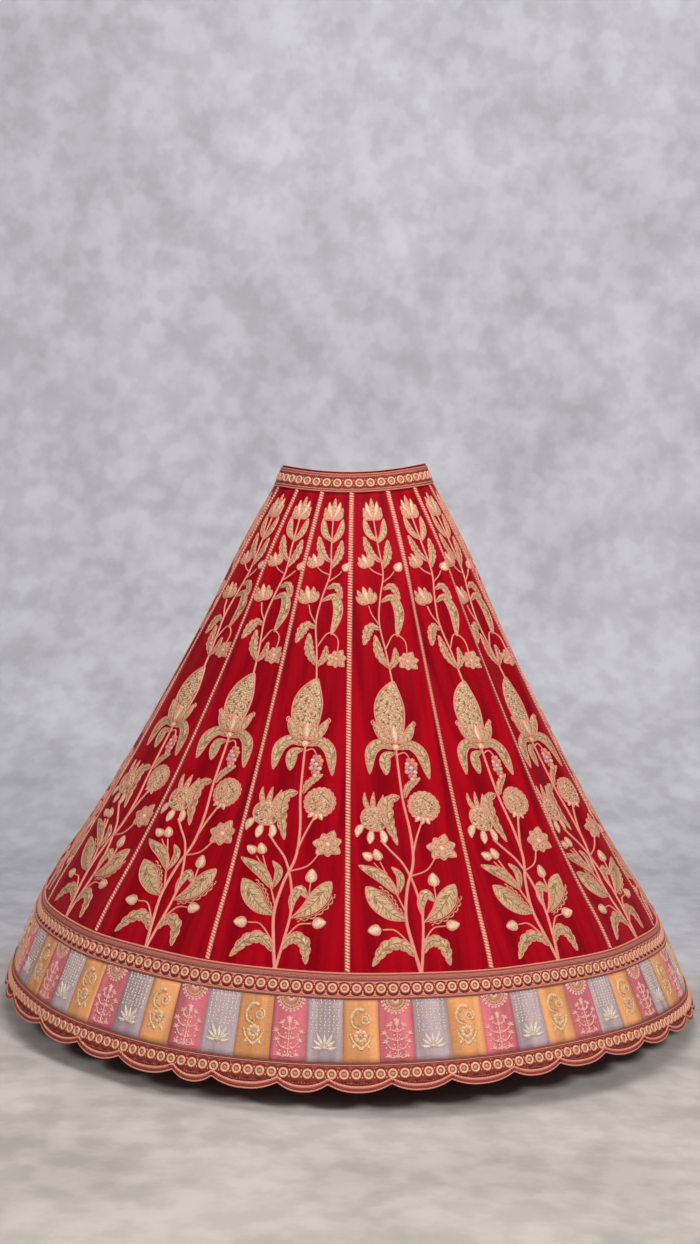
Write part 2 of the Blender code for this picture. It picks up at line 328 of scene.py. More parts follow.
def plain_copy(piece):
    """Swap a piece's modifiers for the mesh that they make."""
    evaluated = piece.evaluated_get(bpy.context.evaluated_depsgraph_get())
    mesh = bpy.data.meshes.new_from_object(evaluated)
    piece.modifiers.clear()
    piece.data = mesh
    mesh.name = piece.name
    return piece


def give_wall(piece, wall):
    """Thicken a sheet inwards."""
    thicken = piece.modifiers.new("Wall", "SOLIDIFY")
    thicken.thickness = wall
    thicken.offset = -1
    return plain_copy(piece)


def settle(piece, replaced=()):
    """Attach a finished piece to the body it rides on, and hide the model's parts that it
    replaces.
    """
    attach(piece, BODY)
    if replaced:
        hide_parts(*replaced)
    return piece


class Gathered:
    """Grids of points gathered into one piece, with a cloth map in metres."""

    def __init__(self):
        self.points, self.faces, self.uv, self.finish = [], [], [], []
        self.count = 0

    def gather(self, points, uv, finish=0):
        """Add grids of rows by columns of points, seen from outside the skirt."""
        rows, columns = points.shape[-3:-1]
        index = self.count + np.arange(points.size // 3).reshape(-1, rows, columns)
        faces = stacked(index[:, :-1, :-1], index[:, :-1, 1:], index[:, 1:, 1:],
                        index[:, 1:, :-1]).reshape(-1, 4)
        self.points.append(points.reshape(-1, 3))
        self.faces.append(faces)
        self.uv.append(uv.reshape(-1, 2))
        self.finish.append(np.full(len(faces), finish, dtype=np.int32))
        self.count += index.size

    def laid(self, points):
        """The gathered points in space."""
        return points

    def piece(self, name, finishes, places=((),)):
        """One object holding what is gathered, laid at each place."""
        points, faces, uv, finish = (
            np.concatenate(part) for part in (self.points, self.faces, self.uv, self.finish))
        times = len(places)
        points = np.concatenate([self.laid(points, *place) for place in places])
        faces = np.concatenate([faces + self.count * index for index in range(times)])
        mesh = bpy.data.meshes.new(name)
        mesh.from_pydata(points.tolist(), [], faces.tolist())
        for material in finishes:
            mesh.materials.append(material)
        layer = mesh.uv_layers.new(name="Cloth")
        layer.data.foreach_set("uv", np.tile(uv, (times, 1))[faces.ravel()].ravel())
        mesh.polygons.foreach_set("material_index", np.tile(finish, times))
        mesh.polygons.foreach_set("use_smooth", np.ones(len(faces), dtype=bool))
        grid = bmesh.new()
        grid.from_mesh(mesh)
        bmesh.ops.remove_doubles(grid, verts=grid.verts, dist=WELD)
        grid.to_mesh(mesh)
        grid.free()
        return in_scene(name, mesh)


class Strips(Gathered):
    """Bands and cords that run all round the skirt."""

    def __init__(self, columns):
        super().__init__()
        self.across = across_of(np.linspace(0, FULL_TURN, columns + 1), 0.1)
        short = KALI_COUNT - (self.across[-1] - self.across[0])
        self.across += np.linspace(0, short, columns + 1)

    def add(self, lower, upper, profile, finish=0):
        """A strip between two heights. profile has rows of (part of the way up, lift)."""
        profile = np.array(profile)
        lower, upper, across = np.broadcast_arrays(lower, upper, self.across)
        height = lower + (upper - lower) * profile[:, :1]
        reach = reach_along(skirt(across, np.mean(lower + upper) / 2))
        self.gather(skirt(across, height, profile[:, 1:]), stacked(reach, slant_of(height)),
                    finish)

    def cord(self, middle, width, rise, finish, base):
        """A rounded cord of a width along a height."""
        half = width / 2 * 0.9
        self.add(middle - half, middle + half,
                 [(0, base), (0.2, base + 0.8 * rise), (0.5, base + rise),
                  (0.8, base + 0.8 * rise), (1, base)], finish)

    def roll(self, middle, radius, finish):
        """A closed round roll along a height."""
        turn = np.linspace(0, FULL_TURN, 9)
        lift = LAID_ON + radius * np.sin(turn)
        self.add(middle - radius, middle + radius,
                 stacked(0.5 - 0.5 * np.cos(turn), lift), finish)

    def wavy(self, by_ring, between, count):
        """An edge at one height by each ring's middle, and at another halfway to the next."""
        part = np.mod(angle_at(self.across, 0.1) * count / FULL_TURN, 1)
        near = np.sqrt(np.maximum(1 - (2 * part - 1) ** 2, 0))
        return by_ring + (between - by_ring) * (1 - near)


# ---- flat needlework

GOLD, ROSE, CREAM, SHADE, PINK, LILAC, ORANGE = range(7)
SUNK = 0.04
KNOT_RISE = 0.13


def ways_and_sides(line):
    """Directions along a flat line, and to its right."""
    way = np.gradient(line, axis=0)
    way = way / np.maximum(np.linalg.norm(way, axis=1, keepdims=True), 1e-9)
    return way, way[:, ::-1] * (1, -1)


def circle(turn, radius):
    """Flat points on a circle."""
    return stacked(np.cos(turn) * radius, np.sin(turn) * radius)


def pointing(degrees):
    """Flat direction of an angle in degrees."""
    return circle(math.radians(degrees), 1)


def offset_line(line, distance):
    """A line moved sideways by a distance that may change along it."""
    return line + ways_and_sides(line)[1] * np.reshape(distance, (-1, 1))


def arc(base, tip, bend, count):
    """A line from base to tip that bows sideways by a part of its length."""
    base, tip = np.asarray(base, float), np.asarray(tip, float)
    chord = tip - base
    middle = (base + tip) / 2 + bend * 2 * np.array([-chord[1], chord[0]])
    part = parts(count)[:, None]
    return (1 - part) ** 2 * base + 2 * part * (1 - part) * middle + part ** 2 * tip


def flowing(points, count):
    """A smooth line through points."""
    place = reach_along(points)
    table = np.column_stack([place, points])
    return stacked(*(smooth_table(table, place[-1] * parts(count), column) for column in (1, 2)))


def curl(centre, radius, start, sweep, count=14):
    """A spiral line that winds in from its start, in degrees."""
    turn = np.radians(start + np.linspace(0, sweep, count))
    return centre + circle(turn, radius * np.linspace(1, 0.28, count))


def leaf_shape(count, fullest=0.5, sharp=1):
    """Half widths along a leaf, as parts of its fullest."""
    part = parts(count)
    power = math.log(0.5) / math.log(fullest)
    return np.maximum(np.sin(math.pi * part ** power), 0) ** sharp * 0.97 + 0.03


class Needlework(Gathered):
    """Raised stitching drawn flat, in centimetres, then laid on the cloth."""

    def raised(self, flat, lift, across, along, finish):
        """Add a grid of flat points, with their lift and cloth map."""
        self.gather(stacked(flat[..., 0], flat[..., 1], lift), stacked(across, along) * CM,
                    finish)

    def run(self, line, half_width, profile, finish):
        """Sweep a cross profile of (side, lift) along a flat line."""
        line = np.asarray(line, float)
        side, lift = np.array(profile).T
        across = side * np.broadcast_to(half_width, len(line))[:, None]
        flat = line[:, None] + ways_and_sides(line)[1][:, None] * across[..., None]
        self.raised(flat, lift, across, reach_along(line)[:, None], finish)

    def cord(self, line, width, finish=ROSE, rise=0.18, base=0):
        """A round cord. width may change along the line."""
        low, top = base - SUNK, base + rise
        self.run(line, np.asarray(width) / 2,
                 [(-1, low), (-0.6, top), (0.6, top), (1, low)], finish)

    def blade(self, spine, half_width, rise=0.2, finish=GOLD, edge=0.18, base=0):
        """A leaf or petal: a domed fill with a cord round it."""
        low, shoulder = base - SUNK, base + 0.7 * rise
        self.run(spine, half_width, [(-1, low), (-0.75, shoulder), (0, base + rise),
                                     (0.75, shoulder), (1, low)], finish)
        for hand in HANDS if edge else ():
            self.cord(offset_line(spine, half_width * hand), edge, ROSE, rise * 0.95, base)

    def petal(self, base, tip, width, rise=0.2, finish=GOLD, edge=0, bend=0, count=8,
              fullest=0.5, sharp=1):
        """A petal or small leaf from its base to its tip."""
        spine = arc(base, tip, bend, count)
        self.blade(spine, leaf_shape(count, fullest, sharp) * width, rise, finish, edge)
        return spine

    def disc(self, centre, radius, rise=0.2, finish=GOLD, edge=0, base=0, segments=9):
        """A domed round, with a cord round it."""
        turn = np.linspace(0, FULL_TURN, segments + 1)
        rings = np.array([1, 0.85, 0.55, 0.03])[:, None]
        flat = circle(turn, rings * radius) + centre
        lift = base + rise * np.sqrt(1 - 0.98 * rings ** 2) - SUNK * (rings > 0.99)
        self.raised(flat, lift, turn * radius * 0.5, rings * radius, finish)
        if edge:
            self.cord(flat[0], edge, ROSE, rise * 0.8, base)

    def knots(self, places, radius, finish):
        """Small round knots. places has rows of (x, y, lift)."""
        turn = np.linspace(0, FULL_TURN, 7)
        lift = np.array([-0.02, 0.8 * KNOT_RISE, KNOT_RISE])[:, None]
        reach = np.array([1, 0.7, 0.05])[:, None] * radius
        form = stacked(np.cos(turn) * reach, np.sin(turn) * reach, lift)
        points = np.reshape(places, (-1, 1, 1, 3)) + form
        self.gather(points, points[..., :2] * CM, finish)

    def laid(self, points, across, slant):
        """The work's points in space, for a place on the skirt."""
        height = height_of(slant + points[:, 1] * CM)
        place = across + points[:, 0] * CM / round_rate(across, height)
        return skirt(place, height, points[:, 2] * CM)


# ---- the motifs

KALI_STEMS = (
    # points in centimetres from the border's top, width at the start, width at the end
    (((0, -0.4), (-0.9, 4.5), (-1.5, 9.5), (-0.6, 15), (0.9, 19.5), (1, 25), (0.3, 31), (0, 40.6)),
     0.66, 0.42),
    (((0.1, -0.2), (0.9, 5), (1.4, 10), (0.7, 15), (-0.9, 19.2), (-2.9, 21.6), (-4.4, 23.4)),
     0.56, 0.42),
    (((0.9, 20.5), (2, 24), (3.4, 27.4)), 0.42, 0.36),
    (((0.6, 53.4), (0, 59), (-0.8, 65), (-0.2, 70), (0.8, 75), (0.4, 80.5), (0, 87.2)), 0.38, 0.3),
    (((-0.7, 3.8), (-3.6, 7.2), (-5.8, 7.3)), 0.32, 0.26),
    (((0.7, 4.4), (3, 7.6), (5.2, 8)), 0.32, 0.26),
    (((1.5, 8.6), (3.9, 11.6), (4.1, 15.2)), 0.32, 0.26),
    (((-1.4, 10.4), (-3.2, 15.2), (-4.9, 19.4)), 0.34, 0.26),
    (((-3.9, 17.4), (-5.2, 18.2), (-6, 19.2)), 0.26, 0.22),
    (((0.2, 17), (3.2, 18.2), (5, 20.6)), 0.3, 0.26),
    (((0, 39.4), (1.5, 39.9), (2.5, 38.4)), 0.28, 0.24),
    (((0, 60), (1.8, 62.8), (3.6, 61.6), (3.8, 58.4)), 0.26, 0.22),
    (((-0.8, 64.6), (-2, 66.6), (-2.5, 68.4)), 0.28, 0.24),
    (((0.5, 73.2), (2.1, 74.4), (2.9, 75.4)), 0.26, 0.22),
    (((0.8, 74.6), (-0.9, 75.4), (-1.9, 76.4)), 0.26, 0.22),
)
KALI_LEAVES = (
    # points along the spine, width, fullest, kind
    (((-0.5, 2.6), (-3, 4.9), (-5.6, 4.2), (-8.2, 1)), 2.2, 0.45, "toothed"),
    (((0.5, 3), (2.3, 5.3), (4.3, 4.7), (5.2, 0.9)), 2.2, 0.5, "toothed"),
    (((-1.4, 9), (-4.2, 10.4), (-7.9, 14.9)), 3.5, 0.6, "lobed"),
    (((1.8, 8.8), (4.7, 11), (7.7, 15.6)), 3.3, 0.6, "lobed"),
    (((1.5, 9.4), (1.4, 12), (2.5, 13.9), (3.9, 12.4)), 1.6, 0.6, "plain"),
    (((-2.3, 13.6), (-4.9, 16.6), (-8.8, 18.7)), 2, 0.5, "veined"),
    (((-2.2, 14), (-1.7, 16.9), (-3, 18.6)), 1.3, 0.5, "plain"),
    (((-0.2, 31.6), (-2.3, 30.8), (-2.7, 27.4), (-1.5, 22.6)), 2.2, 0.4, "toothed"),
    (((0.7, 31.4), (1.5, 33.4), (3.8, 35.2)), 1.3, 0.5, "toothed"),
    (((-0.3, 40.6), (-2.6, 41.5), (-4.5, 40), (-5.2, 35.6)), 2, 0.45, "veined"),
    (((0.3, 40.6), (2.6, 41.4), (4.5, 39.8), (5.5, 35)), 2, 0.45, "veined"),
    (((-0.2, 39.8), (-2, 39), (-2.2, 35.6)), 1.9, 0.55, "plain"),
    (((0.2, 56.2), (-1.3, 58.8), (-1.8, 62.6)), 1.7, 0.5, "toothed"),
    (((0.3, 56), (1.5, 57.8), (1.7, 60.2)), 1.3, 0.5, "toothed"),
    (((-0.2, 69.2), (2, 70.2), (3.1, 67.2), (2.3, 62.4)), 1.7, 0.5, "plain"),
    (((-0.7, 63.8), (-2.5, 64.2), (-4.1, 60.6)), 1.8, 0.5, "toothed"),
    (((0.5, 71.8), (2.2, 72.4), (3.5, 69.8)), 1.3, 0.5, "toothed"),
    (((0.8, 76), (2, 78.6), (2.3, 82)), 1.5, 0.5, "toothed"),
    (((0.6, 77.4), (-1.2, 79.2), (-2.2, 82.8)), 1.5, 0.5, "toothed"),
    (((0.3, 81.4), (1.6, 83.4), (2, 86.6)), 1.2, 0.5, "plain"),
    (((0.3, 81.8), (-1.2, 83.6), (-1.8, 86.8)), 1.2, 0.5, "plain"),
)
KALI_BUDS = (
    # centre, size, angle in degrees
    ((-7, 7.2), 0.92, 185), ((6.3, 8.1), 0.92, 8), ((4.1, 16.2), 0.95, 92),
    ((-5.2, 20.5), 0.8, 108), ((-6.9, 20.3), 0.75, 150), ((3.7, 76.2), 0.75, 60),
)
KALI_RELIEF = 0.82
BLOOM_SHAPE = np.array([
    # part of the way up, half_width
    (0, 1.5), (0.14, 2.2), (0.34, 2.65), (0.54, 2.65), (0.73, 2.05), (0.88, 1.15),
    (0.96, 0.5), (1, 0.08),
])
BLOOM_ROLL = np.array([(0, 0.3), (1.8, 1), (2.9, 2.8), (3.5, 4.3)])
BLOOM_INNER = np.array([(0.4, 0.5), (1.3, 1.9), (1.2, 3.5)])
TREE_BOUGHS = np.array([
    ((0, 1.9), (1.1, 2.2), (1.9, 3.2)), ((0, 3.5), (1, 3.7), (2.1, 4.6)),
    ((0, 4.9), (0.7, 5.1), (1.2, 5.9)), ((0, 0.9), (0.7, 0.7), (1.5, 0.9)),
])
TREE_BERRIES = np.array([
    (0.5, 4.4), (1.15, 5.3), (0.5, 2.8), (1.35, 1.6), (1.6, 3.9), (0.9, 6.4), (0.45, 1.4),
    (1.9, 2.3), (0.35, 6.9),
])


def leaf(work, points, width, fullest, kind):
    """A leaf along a line of points: plain, toothed, veined or lobed."""
    count = 19 if kind == "toothed" else 15
    spine = flowing(points, count)
    half = leaf_shape(count, fullest, 0.75) * width / 2
    if kind == "toothed":
        half = half * (1 - 0.26 * (np.arange(count) % 3 == 0))
    work.blade(spine, half)
    if width > 1.2:
        work.cord(spine[:int(count * 0.85)], 0.16, SHADE, 0.05, 0.18)
    way, side = ways_and_sides(spine)
    for row in range(2, count - 3, 2) if kind != "plain" else ():
        for hand in HANDS:
            vein = (side[row] * hand * 0.72 + way[row] * 0.5) * half[row]
            work.cord(spine[row] + vein * [[0], [0.5], [1]], 0.1, ROSE, 0.06, 0.14)
    if kind == "lobed":
        fine = flowing(points, 40)
        reach = leaf_shape(40, fullest, 0.75) * width / 2
        lobes = np.abs(np.sin(np.linspace(0, 8 * math.pi, 40)))
        work.cord(offset_line(fine, reach + 0.42 + 0.42 * lobes)[2:34], 0.24, GOLD, 0.16)
        work.cord(offset_line(fine, reach + 0.3)[2:32], 0.16, ROSE, 0.12)


def stipple(work, spine, half_width, pitch, base):
    """Cover a domed form with knots in four threads."""
    length = reach_along(spine)
    way = ways_and_sides(spine)[0]
    chosen = ([], [], [], [])
    rows = int(length[-1] / (pitch * 0.9))
    for row in range(1, rows):
        x, y, way_x, way_y, reach = (np.interp(row * length[-1] / rows, length, values)
                                     for values in (*spine.T, *way.T, half_width))
        reach -= 0.22
        number = int(2 * reach / pitch)
        for index in range(number):
            part = (index + 0.5 + 0.5 * (row % 2)) / number * 2 - 1
            if abs(part) < 0.97:
                off = reach * part
                kind = (0, 2, 0, 1, 3, 0, 2, 3, 0)[(row * 4 + index * 2) % 9]
                chosen[kind].append((x + way_y * off, y - way_x * off,
                                     base * (1 - 0.55 * part * part)))
    for places, finish in zip(chosen, (CREAM, SHADE, ROSE, GOLD)):
        if places:
            work.knots(places, pitch * 0.46, finish)


def ball_spine(centre, radius, turn, count=15):
    """Spine and half widths that make a blade into a round, standing along an angle."""
    part = np.linspace(-1, 1, count)
    spine = centre + np.outer(part, pointing(turn)) * radius
    return spine, np.sqrt(np.maximum(1 - part ** 2, 0)) * radius + 0.03


def bud(work, centre, size, angle):
    """A closed bud in its cup, pointing along an angle in degrees."""
    way = pointing(angle) * size
    base = centre - way
    work.petal(base, base + way * 2.5, size, 0.26, CREAM, 0.2, 0, 9, 0.36, 0.7)
    for hand in HANDS:
        tip = base + pointing(angle + math.degrees(hand * 0.6)) * size * 1.5
        work.cord(arc(base, tip, hand * 0.2, 6), 0.3, ROSE, 0.26)


def star_flower(work, centre, radius, turn, petals=7):
    """An open flower with pointed petals."""
    for index in range(petals):
        reach = radius * (1 + 0.12 * math.sin(2.3 * index))
        way = pointing(turn + 360 * index / petals) * reach
        spine = work.petal(centre + way * 0.12, centre + way, radius * 0.33, 0.22,
                           edge=0.085 * radius, fullest=0.45, sharp=0.8)
        work.cord(spine[1:6], 0.06 * radius, ROSE, 0.05, 0.19)
    work.disc(centre, radius * 0.18, 0.14, CREAM, 0.05 * radius, 0.16)


def carnation(work, centre, radius, turn):
    """A round flower head with a frilled edge, a stippled middle and a small whorl."""
    low = centre - pointing(turn) * radius * 0.4
    for index in range(15):
        spot = centre + pointing(turn + (index - 7) * 20) * radius * 0.86
        work.disc(spot, radius * 0.2, 0.18, GOLD, 0.07 * radius)
    for spread in (-22, 0, 22):
        work.petal(centre + pointing(turn + 180 + spread) * radius * 1.25, low, radius * 0.17,
                   0.18, CREAM, 0.05 * radius, count=7, fullest=0.45)
    spine, half = ball_spine(centre, radius * 0.8, turn)
    work.blade(spine, half, 0.26, GOLD, 0.22, 0.03)
    stipple(work, spine, half, radius * 0.135, 0.26)
    work.cord(curl(centre - pointing(turn) * radius * 0.1, radius * 0.26, turn, 560, 22),
              0.05 * radius, ROSE, 0.12, 0.3)


def fruit(work, centre, radius, turn):
    """A pomegranate with its crown, hanging leaves and a netted skin."""
    for about, spreads, start, end, bend, width, rise, finish, edge, fullest in (
            (turn, (-30, -11, 8, 27), 0.5, 2.25, 240, 0.19, 0.2, GOLD, 0.15, 0.42),
            (turn + 180, (-30, 0, 30), 0.6, 2.1, 150, 0.27, 0.18, CREAM, 0.17, 0.62)):
        for spread in spreads:
            way = pointing(about + spread) * radius
            work.petal(centre + way * start, centre + way * end, radius * width, rise, finish,
                       edge, spread / bend, 9, fullest)
    spine, half = ball_spine(centre, radius, turn)
    work.blade(spine, half, 0.32, GOLD, 0.26, 0.03)
    stipple(work, spine, half, 0.46, 0.31)
    heart, heart_half = ball_spine(centre + pointing(turn) * radius * 0.1, radius * 0.5, turn, 9)
    for hand in HANDS:
        work.cord(offset_line(heart, heart_half * hand), 0.2, ROSE, 0.16, 0.33)


def fan(work, base, turn, petals, width, cream, edge, count, fullest, sharp=1):
    """Petals from one base, as rows of (spread, reach). Those of one spread are cream."""
    for spread, reach in petals:
        finish = CREAM if abs(spread) == cream else GOLD
        work.petal(base, base + pointing(turn + spread) * reach, width, 0.2, finish, edge,
                   spread / 260, count, fullest, sharp)


def tulip(work, centre, size, turn):
    """A cup of upright petals."""
    petals = [(spread, reach * size) for spread, reach in (
        (-46, 1.7), (46, 1.7), (-22, 2.1), (22, 2.1), (0, 2.25))]
    fan(work, centre - pointing(turn) * size * 0.9, turn, petals, size * 0.33, 0, 0.17, 9, 0.5,
        0.8)


def lotus(work, foot, size):
    """An upright flower with pointed petals standing in a fan."""
    petals = [(spread, reach * size) for spread, reach in (
        (-52, 1.3), (52, 1.3), (-33, 1.75), (33, 1.75), (-15, 2.3), (15, 2.3),
        (0, 2.7))]
    fan(work, np.array(foot), 90, petals, size * 0.25, 15, 0.16, 10, 0.52)
    work.disc(foot, size * 0.2, 0.2, GOLD, 0.12)


def onion_bloom(work, base, tip):
    """A tall closed bloom, narrow at its tip, standing in a cup with rolled sides."""
    base = np.array(base)
    spine = arc(base + (0, 1.4), tip, 0.08, 24)
    half = smooth_table(BLOOM_SHAPE, parts(24), 1)
    work.blade(spine, half, 0.34, GOLD, 0.28)
    stipple(work, spine, half, 0.46, 0.32)
    for hand in HANDS:
        roll = flowing(base + BLOOM_ROLL * (hand, 1), 14)
        work.blade(roll, leaf_shape(14, 0.55, 0.8) * 0.78, 0.34, GOLD, 0.2, 0.06)
        work.cord(curl(base + (hand * 3.5, 4), 0.56, 90, -hand * 430), 0.24, ROSE, 0.22)
        inner = flowing(base + BLOOM_INNER * (hand, 1), 10)
        work.blade(inner, leaf_shape(10, 0.5, 0.8) * 0.6, 0.3, GOLD, 0.18, 0.16)
    heart = arc(base + (0, 0.2), base + (0, 3.6), 0, 9)
    work.blade(heart, leaf_shape(9, 0.5, 0.8) * 0.66, 0.34, CREAM, 0.18, 0.2)
    work.disc(base - (0, 0.5), 0.62, 0.34, CREAM, 0.2, 0.05, 10)


def berries(work, centre, radius):
    """A hanging bunch of small round stitches in coloured threads."""
    for row, (shift, drop, number) in enumerate(((0, 2, 2), (0.1, 1.1, 3), (0, 0.2, 3),
                                                 (-0.1, -0.8, 3), (0.1, -1.8, 2),
                                                 (0, -2.6, 1))):
        for index in range(number):
            spot = np.array([shift + (index - (number - 1) / 2) * 0.95, drop]) * radius
            finish = (PINK, ORANGE, LILAC, CREAM)[(row * 3 + index) % 4]
            work.disc(centre + spot, radius * 0.5, 0.24, finish, 0.09, segments=8)


def kali_needlework():
    """The spray of leaves and flowers that climbs each kali."""
    work = Needlework()
    for points, start, end in KALI_STEMS:
        count = max(8, len(points) * 5)
        work.cord(flowing(points, count), np.linspace(start, end, count), ROSE, 0.24)
    for row in KALI_LEAVES:
        leaf(work, *row)
    for row in KALI_BUDS:
        bud(work, *row)
    star_flower(work, (6.2, 22.2), 2.5, 20)
    star_flower(work, (3.8, 57.6), 1.9, 10)
    carnation(work, (3.9, 29.9), 2.7, 80)
    fruit(work, (-5.3, 27.2), 2.25, 76)
    onion_bloom(work, (0, 41.4), (0.8, 53.6))
    berries(work, (2.4, 36.9), 0.78)
    tulip(work, (-2.8, 70.3), 1.5, 104)
    tulip(work, (-2.3, 77.5), 1.2, 110)
    lotus(work, (0, 86.6), 1.75)
    return work


def orange_motif():
    """A curled boteh over a small flower in its cup."""
    work = Needlework()
    boteh = flowing([(-0.2, 5.4), (-1.3, 6), (-1.5, 7.4), (-0.5, 8.7), (0.5, 8.4)], 22)
    work.cord(boteh, np.linspace(0.32, 0.74, 22), CREAM, 0.24)
    work.cord(offset_line(boteh, 0.48)[:19], 0.3, GOLD)
    work.cord(curl((0.75, 7), 0.95, 90, -500, 20), 0.38, CREAM, 0.22)
    work.disc((0.75, 7), 0.34, edge=0.08, segments=8)
    for angle in range(0, 360, 45):
        work.disc((0, 4.3) + pointing(angle) * 0.78, 0.42, finish=CREAM, segments=7)
    work.disc((0, 4.3), 0.46, edge=0.12, base=0.08)
    for hand in HANDS:
        cup = flowing([(hand * 1.8, 4.7), (hand * 1.2, 3.3), (0, 2.2)], 10)
        work.cord(cup, np.linspace(0.32, 0.56, 10), CREAM, 0.22)
        work.cord(flowing([(hand * 1.3, 4.7), (hand * 0.9, 3.6), (0, 2.9)], 8), 0.22, GOLD,
                  0.16)
        work.petal((hand * 0.6, 3), (hand * 1.5, 2.2), 0.36, 0.18, CREAM, bend=hand * 0.1,
                   count=7)
    return work


def pink_motif():
    """A half medallion under the upper edge, over a small branching tree."""
    work = Needlework()
    middle = np.array([0, 10.25])
    for index in range(11):
        way = pointing(180 + 180 * (index + 0.5) / 11)
        work.petal(middle + way * 0.7, middle + way * 1.85, 0.24, 0.18, GOLD, 0.08, count=6,
                   fullest=0.6)
        work.disc(middle + way * 2.28, 0.27, 0.18, CREAM, segments=7)
    turn = np.linspace(math.pi, FULL_TURN, 14)
    for radius, width in ((0.5, 0.5), (1.95, 0.26)):
        work.cord(middle + circle(turn, radius), width, CREAM, 0.2)
    work.cord(flowing([(0, 0.6), (0.05, 3), (0, 6.2)], 10), 0.24, CREAM, 0.2)
    work.petal((0, 5.6), (0, 7.3), 0.46, 0.22, CREAM, fullest=0.45)
    for hand in HANDS:
        for bough in TREE_BOUGHS * (hand, 1):
            work.cord(flowing(bough, 8), 0.2, CREAM)
            for foot, leans, reach, count, width, rise in (
                    (bough[-1], (-60, -10, 40, 90), 0.66, 6, 0.19, 0.17),
                    ((bough[0] + bough[1]) / 2, (-30, 60), 0.6, 5, 0.16, 0.15)):
                for lean in leans:
                    work.petal(foot, foot + pointing(90 - hand * lean) * reach, width, rise,
                               CREAM, count=count)
        for place in TREE_BERRIES * (hand, 1):
            work.disc(place, 0.18, 0.14, CREAM, segments=6)
    return work


def lilac_motif():
    """Rows of small seeds above an open lotus."""
    work = Needlework()
    seeds = []
    for row in range(11):
        for column in range(7):
            x = (column - 3) * 0.72 + (row % 2) * 0.1 - 0.05
            y = 5 + row * 0.5
            if (row + column) % 3:
                seeds.append((x, y, 0))
            else:
                work.cord([(x, y - 0.2), (x + 0.05, y), (x, y + 0.2)], 0.22, CREAM, 0.13)
    work.knots(seeds, 0.18, CREAM)
    base = np.array([0, 2.35])
    for angle, reach in ((4, 2.1), (34, 2.2), (60, 2.7), (90, 2.2), (120, 2.7), (146, 2.2),
                         (176, 2.1)):
        way = pointing(angle)
        work.petal(base + way * 0.15, base + way * reach, 0.34, 0.26, CREAM,
                   bend=(angle - 90) / 900)
    work.disc((0, 2.4), 0.34, 0.26, CREAM, 0.1)
    return work


# ---- finishes

class Nodes:
    """A node tree under construction."""

    def node(self, kind, values=None, output=0, **settings):
        """Add a node: its settings first, then its sockets' values or links. Gives an output."""
        node = self.tree.nodes.new(kind)
        for setting, value in settings.items():
            setattr(node, setting, value)
        for socket, value in (values or {}).items():
            value = value.socket if isinstance(value, Reading) else value
            if isinstance(value, bpy.types.NodeSocket):
                self.tree.links.new(value, node.inputs[socket])
            else:
                node.inputs[socket].default_value = value
        return node.outputs[output] if node.outputs else node


def adds_math(operation, reflected=False):
    """An operator of a reading, as one Math node."""
    def work(self, *others):
        values = (*others, self) if reflected else (self, *others)
        return Reading(self.finish, self.finish.node(
            "ShaderNodeMath", dict(enumerate(values)), operation=operation))
    return work


class Reading:
    """A number that varies over a surface. Arithmetic on it adds Math nodes."""

    def __init__(self, finish, socket):
        self.finish = finish
        self.socket = socket

    __add__ = adds_math("ADD")
    __radd__ = adds_math("ADD", True)
    __sub__ = adds_math("SUBTRACT")
    __rsub__ = adds_math("SUBTRACT", True)
    __mul__ = adds_math("MULTIPLY")
    __rmul__ = adds_math("MULTIPLY", True)
    __abs__ = adds_math("ABSOLUTE")
    sine = adds_math("SINE")
    least = adds_math("MINIMUM")

    def waves(self, pitch):
        """From 0 to 1 and back once in each pitch."""
        return (self * (FULL_TURN / pitch)).sine() * 0.5 + 0.5

    def between(self, low, high):
        """0 below low, 1 above high, smooth in between."""
        values = {"Value": self, "From Min": low, "From Max": high}
        return Reading(self.finish, self.finish.node("ShaderNodeMapRange", values,
                                                     interpolation_type="SMOOTHSTEP"))


def opaque(colour):
    """A colour with its fourth value. A socket is left as it is."""
    return (*colour, 1) if isinstance(colour, tuple) else colour


class Finish(Nodes):
    """A material under construction."""

    def __init__(self, name, colour, roughness, **constants):
        self.material = bpy.data.materials.new(name)
        self.material.use_nodes = True
        self.material.diffuse_color = opaque(colour)
        self.tree = self.material.node_tree
        self.sockets = self.tree.nodes["Principled BSDF"].inputs
        for socket, value in {"Base Color": opaque(colour), "Roughness": roughness,
                              **constants}.items():
            self.sockets[socket.replace("_", " ")].default_value = value

    def split(self, vector):
        """The first two parts of a vector."""
        outputs = self.node("ShaderNodeSeparateXYZ", {0: vector}).node.outputs
        return Reading(self, outputs[0]), Reading(self, outputs[1])

    def cloth_map(self):
        """The piece's cloth map, in metres: across, along, and the vector."""
        uv = self.node("ShaderNodeUVMap", uv_map="Cloth")
        return *self.split(uv), uv

    def cloud(self, vector, scale, detail=2, stretch=(1, 1, 1)):
        """Soft uneven noise on a vector."""
        placed = self.node("ShaderNodeMapping", {"Vector": vector, "Scale": stretch})
        return Reading(self, self.node("ShaderNodeTexNoise", {
            "Vector": placed, "Scale": scale, "Detail": detail}))

    def blend(self, mask, first, second):
        """A colour that goes from first to second as mask rises."""
        return self.node("ShaderNodeMix", {0: mask, 6: opaque(first), 7: opaque(second)}, 2,
                         data_type="RGBA")

    def look(self, colour, roughness=None, relief=None, depth=0, strength=0.9):
        """Feed the shader: its colour, roughness, and relief in metres at its full height."""
        normal = None if relief is None else self.node("ShaderNodeBump", {
            "Strength": strength, "Distance": depth, "Height": relief})
        for socket, value in (("Base Color", colour), ("Roughness", roughness),
                              ("Normal", normal)):
            if value is not None:
                source = value.socket if isinstance(value, Reading) else value
                self.tree.links.new(source, self.sockets[socket])
        return self.material


SILK_THREAD = 0.0011
LAID_THREAD = 0.0021


